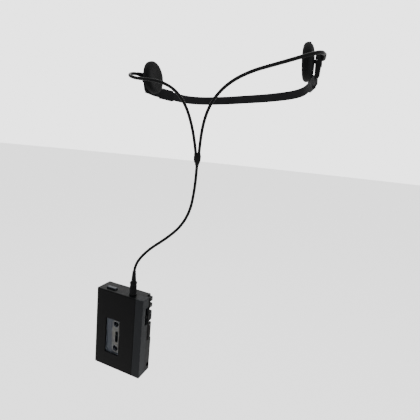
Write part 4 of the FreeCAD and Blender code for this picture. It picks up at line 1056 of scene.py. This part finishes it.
class PLAYER_OT_cassette(bpy.types.Operator):
    """Cassette halves with rounded edges, screws and dark wound tape"""
    bl_idname = "player.cassette"
    bl_label = "Cassette"

    def execute(self, context):
        shell = FINISHES["cassette_plastic"]
        for name, node in (("cassette_front", "cassette_front_half"),
                           ("cassette_back", "cassette_rear_half")):
            rounded_copy(name, node, "door", shell, 0.2 * MM)
        low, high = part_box("cassette_front_half")
        inset = 4.0 * MM
        face_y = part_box("cassette_label")[1].y
        bm = screw_shape(1.3 * MM, 0.55 * MM, towards((0, 0, 0), (0, -1, 0)))
        repeated("cassette_screws_outer", ROW, bm, "door", FINISHES["screw_steel"],
                 "screw_steel", Count=2, Start=(low.x + inset, face_y, low.z + inset),
                 Step=(0, 0, high.z - low.z - 2 * inset))
        for reel in ("supply_reel", "take_up_reel"):
            self.tape_pack(reel)
        self.label()
        return {"FINISHED"}

    def label(self):
        """A round-ended printed strip over a dark pane, with a lighter ring about each hub."""
        low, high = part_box("cassette_label")
        middle = (low.x + high.x) / 2
        hubs = [self.centre("take_up_reel"), self.centre("supply_reel")]
        radius, hole = (high.x - low.x) / 2, 5.0 * MM
        outline = [(middle + radius * math.cos(math.pi + math.pi * i / 24),
                    hubs[0].z + radius * math.sin(math.pi + math.pi * i / 24)) for i in range(25)]
        outline += [(middle + radius * math.cos(math.pi * i / 24),
                     hubs[1].z + radius * math.sin(math.pi * i / 24)) for i in range(25)]
        slot_middle = (hubs[0].z + hubs[1].z) / 2
        slot = [(hubs[0].x + x * MM, slot_middle + z * MM)
                for x, z in ((-0.7, -9.6), (4.6, -9.6), (4.6, 9.6), (-0.7, 9.6))]
        loops = [outline, slot]
        for hub in hubs:
            loops.append([(hub.x + hole * math.cos(math.pi * i / 20),
                           hub.z + hole * math.sin(math.pi * i / 20)) for i in range(40)])
        bm = bmesh.new()
        for loop in loops:
            verts = [bm.verts.new((x, high.y - 0.02 * MM, z)) for x, z in loop]
            for i, vert in enumerate(verts):
                bm.edges.new((vert, verts[(i + 1) % len(verts)]))
        bmesh.ops.triangle_fill(bm, use_beauty=True, edges=bm.edges[:])
        bmesh.ops.dissolve_limit(bm, angle_limit=0.02, verts=bm.verts[:], edges=bm.edges[:])
        made = bmesh.ops.extrude_face_region(bm, geom=bm.faces[:])["geom"]
        raised = [item for item in made if isinstance(item, bmesh.types.BMVert)]
        bmesh.ops.translate(bm, vec=(0, low.y - high.y, 0), verts=raised)
        piece("label_strip", bm, FINISHES["label_paper"], "door", ("cassette_label",),
              30.0)
        bm = bmesh.new()
        slot_half = 9.8 * MM
        rounded_box(bm, (hubs[0].x - 0.9 * MM, high.y - 0.14 * MM, slot_middle - slot_half),
                    (hubs[0].x + 4.8 * MM, high.y + 0.02 * MM, slot_middle + slot_half),
                    0.03 * MM, 1)
        piece("cassette_pane", bm, FINISHES["hub_plastic"], "door", ())
        bm = bmesh.new()
        profile = [(0.0, 5.0), (0.25, 5.05), (0.32, 5.25), (0.32, 5.6), (0.25, 5.85), (0.0, 5.9),
                   (0.0, 5.0)]
        for hub in hubs:
            lathe(bm, [(h * MM, r * MM) for h, r in profile], 48,
                  towards((hub.x, low.y, hub.z), (0, -1, 0)))
        bmesh.ops.remove_doubles(bm, verts=bm.verts[:], dist=1e-7)
        piece("label_rings", bm, FINISHES["ring"], "door", ())

    def centre(self, node):
        """The middle of a CAD node's box."""
        low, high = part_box(node)
        return (low + high) / 2

    def tape_pack(self, reel):
        """The wound tape takes its own dark finish and the hub stays as it is."""
        node = NODES[reel]
        node.data.materials.append(FINISHES["tape"])
        low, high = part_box(reel)
        centre = (low + high) / 2
        hub = 11.0 * MM
        for polygon in node.data.polygons:
            offset = polygon.center - centre
            if math.hypot(offset.x, offset.z) > hub:
                polygon.material_index = len(node.data.materials) - 1


def screw_shape(radius, height, matrix):
    """A cross-slotted pan head, standing on a surface."""
    bm = bmesh.new()
    profile = [(-0.4 * height, 0), (-0.4 * height, radius * 0.97), (0.35 * height, radius),
               (0.7 * height, radius * 0.9), (0.95 * height, radius * 0.6), (height, 0)]
    lathe(bm, profile, 28)
    mesh = bpy.data.meshes.new("head")
    bmesh.ops.recalc_face_normals(bm, faces=bm.faces[:])
    bm.to_mesh(mesh)
    bm.free()
    head = bpy.data.objects.new("head", mesh)
    bm = bmesh.new()
    arm, slot = radius * 0.62, radius * 0.13
    cross = [(arm, slot), (slot, slot), (slot, arm), (-slot, arm), (-slot, slot), (-arm, slot),
             (-arm, -slot), (-slot, -slot), (-slot, -arm), (slot, -arm), (slot, -slot),
             (arm, -slot)]
    prism(bm, cross, height * 0.25, height * 2, Matrix.Identity(4))
    bmesh.ops.recalc_face_normals(bm, faces=bm.faces[:])
    cutter_mesh = bpy.data.meshes.new("cutter")
    bm.to_mesh(cutter_mesh)
    bm.free()
    cutter = bpy.data.objects.new("cutter", cutter_mesh)
    for obj in (head, cutter):
        bpy.context.scene.collection.objects.link(obj)
    cut = head.modifiers.new("Cross", "BOOLEAN")
    cut.object = cutter
    cut.solver = "EXACT"
    finished = plain_mesh(head)
    bpy.data.objects.remove(cutter)
    bm = bmesh.new()
    bm.from_mesh(finished)
    bmesh.ops.transform(bm, matrix=matrix, verts=bm.verts[:])
    bpy.data.meshes.remove(finished)
    return bm


class PLAYER_OT_keys(bpy.types.Operator):
    """Four keys with rounded faces, finger ribs and transport marks"""
    bl_idname = "player.keys"
    bl_label = "Keys"

    def execute(self, context):
        settings = context.scene.control_settings
        triangle = [(-1.0, -1.1), (1.0, 0.0), (-1.0, 1.1)]
        square = [(-1.0, -1.0), (1.0, -1.0), (1.0, 1.0), (-1.0, 1.0)]
        back = [(-x, z) for x, z in triangle]
        marks = {  # key: shapes with their offsets along the key
            "play_key": [(triangle, 0.0)],
            "stop_key": [(square, 0.0)],
            "rewind_key": [(back, -1.0), (back, 1.0)],
            "fast_forward_key": [(triangle, -1.0), (triangle, 1.0)],
        }
        for key, shapes in marks.items():
            slot = "key_plastic_dark" if key == "stop_key" else "key_plastic"
            rounded_copy(key + "_cap", key, key, FINISHES[slot], 0.3 * MM, 3)
            low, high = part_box(key)
            self.mark(key, shapes, low, high)
            self.ribs(key, slot, low, high, settings)
        return {"FINISHED"}

    def mark(self, key, shapes, low, high):
        """The transport sign, just proud of the key's face."""
        middle = Vector((high.x, (low.y + high.y) / 2 - 1.4 * MM, high.z - 2.6 * MM))
        bm = bmesh.new()
        for outline, shift in shapes:
            turned = Matrix((Vector((0, 0, 1)), Vector((0, -1, 0)), Vector((1, 0, 0))))
            face = Matrix.Translation(middle) @ turned.transposed().to_4x4()
            spun = [(y * 0.7 * MM + shift * 0.75 * MM, x * 0.7 * MM) for x, y in outline]
            prism(bm, spun, -0.05 * MM, 0.06 * MM, face)
        piece(key + "_mark", bm, FINISHES["mark"], key)

    def ribs(self, key, slot, low, high, settings):
        """Finger ribs along the lower part of the key's face."""
        room = high.z - low.z - 6.4 * MM
        count = int(room / settings.rib_pitch)
        if count < 1:
            return
        bm = bmesh.new()
        half = settings.rib / 2
        rounded_box(bm, (-0.3 * MM, -2.6 * MM, -half), (0.22 * MM, 2.6 * MM, half), 0.2 * MM)
        start = Vector((high.x, (low.y + high.y) / 2 + 0.2 * MM, low.z + 2.4 * MM))
        repeated(key + "_ribs", ROW, bm, key, FINISHES[slot], slot, Count=count,
                 Start=start, Step=(0, 0, settings.rib_pitch))


class PLAYER_OT_controls(bpy.types.Operator):
    """Top button, volume sliders with ribs, level marks and socket ring"""
    bl_idname = "player.controls"
    bl_label = "Controls"

    def execute(self, context):
        settings = context.scene.control_settings
        rounded_copy("talk_button_cap", "talk_button", "talk_button", FINISHES["button_silver"],
                     0.35 * MM, 3)
        for side in ("left", "right"):
            name = "volume_slider_" + side
            rounded_copy(name + "_knob", name, name, FINISHES["slider_black"], 0.2 * MM,
                         3)
            low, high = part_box(name)
            bm = bmesh.new()
            half = settings.rib / 2
            rounded_box(bm, (-0.3 * MM, -0.85 * MM, -half), (0.3 * MM, 0.85 * MM, half),
                        0.2 * MM)
            start = (high.x, (low.y + high.y) / 2, low.z + 1.4 * MM)
            repeated(name + "_ribs", ROW, bm, name, FINISHES["slider_black"],
                     "slider_black", Count=3, Start=start, Step=(0, 0, settings.rib_pitch))
        self.level_marks()
        self.socket_ring()
        return {"FINISHED"}

    def level_marks(self):
        """Eleven short printed lines beside the volume slot."""
        low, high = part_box("volume_control")
        bm = bmesh.new()
        prism(bm, [(-0.9 * MM, -0.12 * MM), (0.9 * MM, -0.12 * MM), (0.9 * MM, 0.12 * MM),
                   (-0.9 * MM, 0.12 * MM)], -0.03 * MM, 0.03 * MM,
              Matrix.Rotation(math.radians(90), 4, "Y") @ Matrix.Rotation(
                  math.radians(90), 4, "Z"))
        pitch = (high.z - low.z - 8.0 * MM) / 10
        start = Vector((RIGHT, low.y - 1.9 * MM, low.z + 4.0 * MM))
        repeated("volume_marks", ROW, bm, "player", FINISHES["mark"], Count=11,
                 Start=start, Step=(0, 0, pitch))

    def socket_ring(self):
        """A rounded ring round the power socket's mouth."""
        socket = Vector(MOUNTS["power_socket"]["pos_m"])
        bm = bmesh.new()
        profile = [(-0.4, 2.62), (0.12, 2.62), (0.24, 2.75), (0.26, 3.0), (0.2, 3.25),
                   (0.0, 3.35), (-0.4, 3.35), (-0.4, 2.62)]
        lathe(bm, [(h * MM, r * MM) for h, r in profile], 48, towards(socket, (1, 0, 0)))
        bmesh.ops.remove_doubles(bm, verts=bm.verts[:], dist=1e-7)
        piece("socket_ring", bm, FINISHES["hub_plastic"], "player", ())


class PLAYER_OT_back(bpy.types.Operator):
    """Battery lid with grip ribs, and the four case screws"""
    bl_idname = "player.back"
    bl_label = "Back"

    def execute(self, context):
        settings = context.scene.case_settings
        rounded_copy("battery_cover", "battery_lid", "battery_lid", FINISHES["case_plastic"],
                     0.15 * MM)
        low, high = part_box("battery_lid")
        pitch = 1.6 * MM
        bm = bmesh.new()
        rounded_box(bm, (-9 * MM, -0.4 * MM, -0.35 * MM), (9 * MM, 0.25 * MM, 0.35 * MM),
                    0.22 * MM)
        start = Vector(((low.x + high.x) / 2, high.y, low.z + 5.2 * MM))
        repeated("battery_cover_ribs", ROW, bm, "battery_lid", FINISHES["case_plastic"],
                 "case_plastic", Count=settings.grip_ribs, Start=start, Step=(0, 0, pitch))
        self.screws()
        return {"FINISHED"}

    def screws(self):
        """Cross-slotted screws: three down one side of the back and one below the keys."""
        low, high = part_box("case_screws")
        inset = 2.0 * MM
        xs = (low.x + inset, high.x - inset)
        zs = (low.z + inset, high.z - inset)
        seat = -1.15 * MM
        for name, x, count, step, stands_for in (
                ("back_screws_left", xs[0], 3, (zs[1] - zs[0]) / 2, ("case_screws",)),
                ("back_screw_right", xs[1], 1, 0, ())):
            bm = screw_shape(1.95 * MM, 0.9 * MM, towards((0, 0, 0), (0, 1, 0)))
            repeated(name, ROW, bm, "player", FINISHES["screw_steel"], "screw_steel",
                     stands_for, Count=count, Start=(x, seat, zs[0]), Step=(0, 0, step))


class PLAYER_OT_headset(bpy.types.Operator):
    """Band, sliders, cups, cord glands and foam pads"""
    bl_idname = "player.headset"
    bl_label = "Headset"

    def execute(self, context):
        settings = context.scene.headset_settings
        rounded_copy("band", "headband", "headphones", FINISHES["band_steel"], 0.55 * MM,
                     3)
        for side, sign in (("left", -1), ("right", 1)):
            rounded_copy(side + "_slider_moulding", side + "_hanger", side + "_slider",
                         FINISHES["headset_plastic"], 0.4 * MM, 3)
            rounded_copy(side + "_cup", side + "_ear_cup", side + "_ear",
                         FINISHES["headset_plastic"], 0.35 * MM, 3)
            self.housing(side, sign)
            self.cup_cover(side, sign)
            self.foam(settings, side, sign)
            self.gland_boot(side)
        return {"FINISHED"}

    def housing(self, side, sign):
        """The deep moulding that carries the lead down from the boss to the band."""
        bm = bmesh.new()
        foot = 19.0 * MM
        rounded_box(bm, (119.3 * MM, -5.4 * MM, -foot), (127.0 * MM, 5.4 * MM, 8.2 * MM),
                    2.4 * MM, 5)
        for vert in bm.verts:
            lower = max(0.0, -vert.co.z / foot)
            vert.co.x -= 2.4 * MM * lower * (vert.co.x > 123.0 * MM)
            vert.co.y *= 1 - 0.25 * lower
        bmesh.ops.transform(bm, matrix=mirrored(sign), verts=bm.verts[:])
        piece(side + "_housing", bm, FINISHES["headset_plastic"], side + "_slider", (),
              50.0)

    def cup_cover(self, side, sign):
        """The cup's full, stepped back, clear of the arm through its tilt."""
        outline = [(111.5, 0), (111.5, 21.2), (111.8, 21.5), (113.0, 21.4), (113.5, 21.1),
                   (113.6, 20.6), (113.6, 20.2), (114.0, 20.1), (114.9, 19.4), (116.1, 17.2),
                   (116.6, 15.8), (116.45, 15.5), (116.45, 15.1), (116.75, 14.9), (117.1, 13.6),
                   (117.45, 10.5), (117.66, 6.0), (117.7, 0)]
        bm = bmesh.new()
        lathe(bm, [(x * MM, r * MM) for x, r in outline], 72,
              Matrix.Rotation(math.radians(90), 4, "Y"))
        bmesh.ops.transform(bm, matrix=mirrored(sign), verts=bm.verts[:])
        piece(side + "_cup_cover", bm, FINISHES["headset_plastic"], side + "_ear", (),
              25.0)

    def foam(self, settings, side, sign):
        """A foam disc, slightly dished, with its lip stretched over the cup's rim."""
        outline = [(105.3, 0.0), (105.25, 3.0), (105.1, 6.0), (104.85, 9.0), (104.6, 12.0),
                   (104.45, 15.0), (104.5, 17.0), (104.8, 18.8), (105.4, 20.3), (106.3, 21.5),
                   (107.4, 22.2), (108.8, 22.5), (110.2, 22.5), (111.6, 22.4), (112.6, 22.3),
                   (113.2, 22.1), (113.3, 21.85), (112.7, 21.7), (111.6, 21.7), (111.15, 21.4),
                   (111.0, 20.5), (111.0, 12.0), (111.0, 0.0)]
        bm = bmesh.new()
        made = lathe(bm, [(x * MM, r * MM) for x, r in outline], 96,
                     Matrix.Rotation(math.radians(90), 4, "Y"))
        bmesh.ops.recalc_face_normals(bm, faces=bm.faces[:])
        bm.normal_update()
        for vert in made:
            inside_cup = math.hypot(vert.co.y, vert.co.z) < 22 * MM
            if vert.co.x > (CUP_FRONT - 0.5) * MM and inside_cup:
                continue
            lumps = noise.noise(vert.co * 420.0 + Vector((sign, 0, 0)))
            fine = noise.noise(vert.co * 1500.0)
            shift = settings.foam_relief * (lumps * 1.2 + fine * 0.6 - 0.9)
            vert.co += vert.normal * shift
        bmesh.ops.transform(bm, matrix=mirrored(sign), verts=bm.verts[:])
        pad = piece(side + "_foam", bm, FINISHES["ear_foam"], side + "_ear",
                    (side + "_ear_pad",), 60.0)
        smooth = pad.modifiers.new("Smooth", "SUBSURF")
        smooth.levels = 1
        smooth.render_levels = 1

    def gland_boot(self, side):
        """A ringed sleeve where the lead enters the slider's boss."""
        route = LEFT_ROUTE if side == "left" else RIGHT_ROUTE
        end, before = Vector(route[-1]), Vector(route[-2])
        bm = bmesh.new()
        profile = [(-2.5, 0), (-2.5, 3.35), (-1.5, 3.3)]
        for i in range(4):
            h = -1.3 + 1.5 * i
            profile += [(h, 3.2 - 0.12 * i), (h + 0.9, 3.15 - 0.12 * i),
                        (h + 1.0, 2.75 - 0.06 * i), (h + 1.4, 2.75 - 0.06 * i)]
        profile += [(4.9, 2.75), (5.6, 2.6), (5.9, 2.35), (5.9, 0)]
        lathe(bm, [(h * MM, r * MM) for h, r in profile], 36, towards(end, before - end))
        piece(side + "_gland_boot", bm, FINISHES["cord_vinyl"], side + "_slider", ())


class PLAYER_OT_finishes(bpy.types.Operator):
    """Materials for every slot, and for the CAD nodes that stay in view"""
    bl_idname = "player.finishes"
    bl_label = "Finishes"

    def execute(self, context):
        FINISHES.update(make_finishes(context.scene))
        for part in frame["record"]["subparts"]:
            mesh = NODES[part["node"]].data
            mesh.materials.clear()
            mesh.materials.append(FINISHES[part["material_slot"]])
        return {"FINISHED"}


OPERATORS = [PLAYER_OT_finishes, PLAYER_OT_stage, PLAYER_OT_cords, PLAYER_OT_fork,
             PLAYER_OT_plug, PLAYER_OT_shells, PLAYER_OT_door, PLAYER_OT_cassette,
             PLAYER_OT_keys, PLAYER_OT_controls, PLAYER_OT_back, PLAYER_OT_headset]
SETTINGS = {"case_settings": CaseSettings, "control_settings": ControlSettings,
            "headset_settings": HeadsetSettings, "cord_settings": CordSettings,
            "stage_settings": StageSettings}


class PLAYER_PT_panel(bpy.types.Panel):
    """Builds the cassette player piece by piece"""
    bl_idname = "PLAYER_PT_panel"
    bl_label = "Cassette player"
    bl_space_type = "VIEW_3D"
    bl_region_type = "UI"
    bl_category = "Cassette player"

    def draw(self, context):
        for operator in OPERATORS:
            self.layout.operator(operator.bl_idname)
        for name in SETTINGS:
            group = getattr(context.scene, name)
            box = self.layout.box()
            for prop in group.__annotations__:
                box.prop(group, prop)


def register():
    for group in SETTINGS.values():
        bpy.utils.register_class(group)
    for name, group in SETTINGS.items():
        setattr(bpy.types.Scene, name, PointerProperty(type=group))
    for operator in OPERATORS:
        bpy.utils.register_class(operator)
    bpy.utils.register_class(PLAYER_PT_panel)


def unregister():
    bpy.utils.unregister_class(PLAYER_PT_panel)
    for operator in reversed(OPERATORS):
        bpy.utils.unregister_class(operator)
    for name, group in reversed(list(SETTINGS.items())):
        delattr(bpy.types.Scene, name)
        bpy.utils.unregister_class(group)


def main():
    register()
    for operator in OPERATORS:
        category, name = operator.bl_idname.split(".")
        if getattr(getattr(bpy.ops, category), name)() != {"FINISHED"}:
            raise RuntimeError(f"{operator.bl_label} didn't finish")
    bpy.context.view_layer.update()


if __name__ == "__main__":
    main()
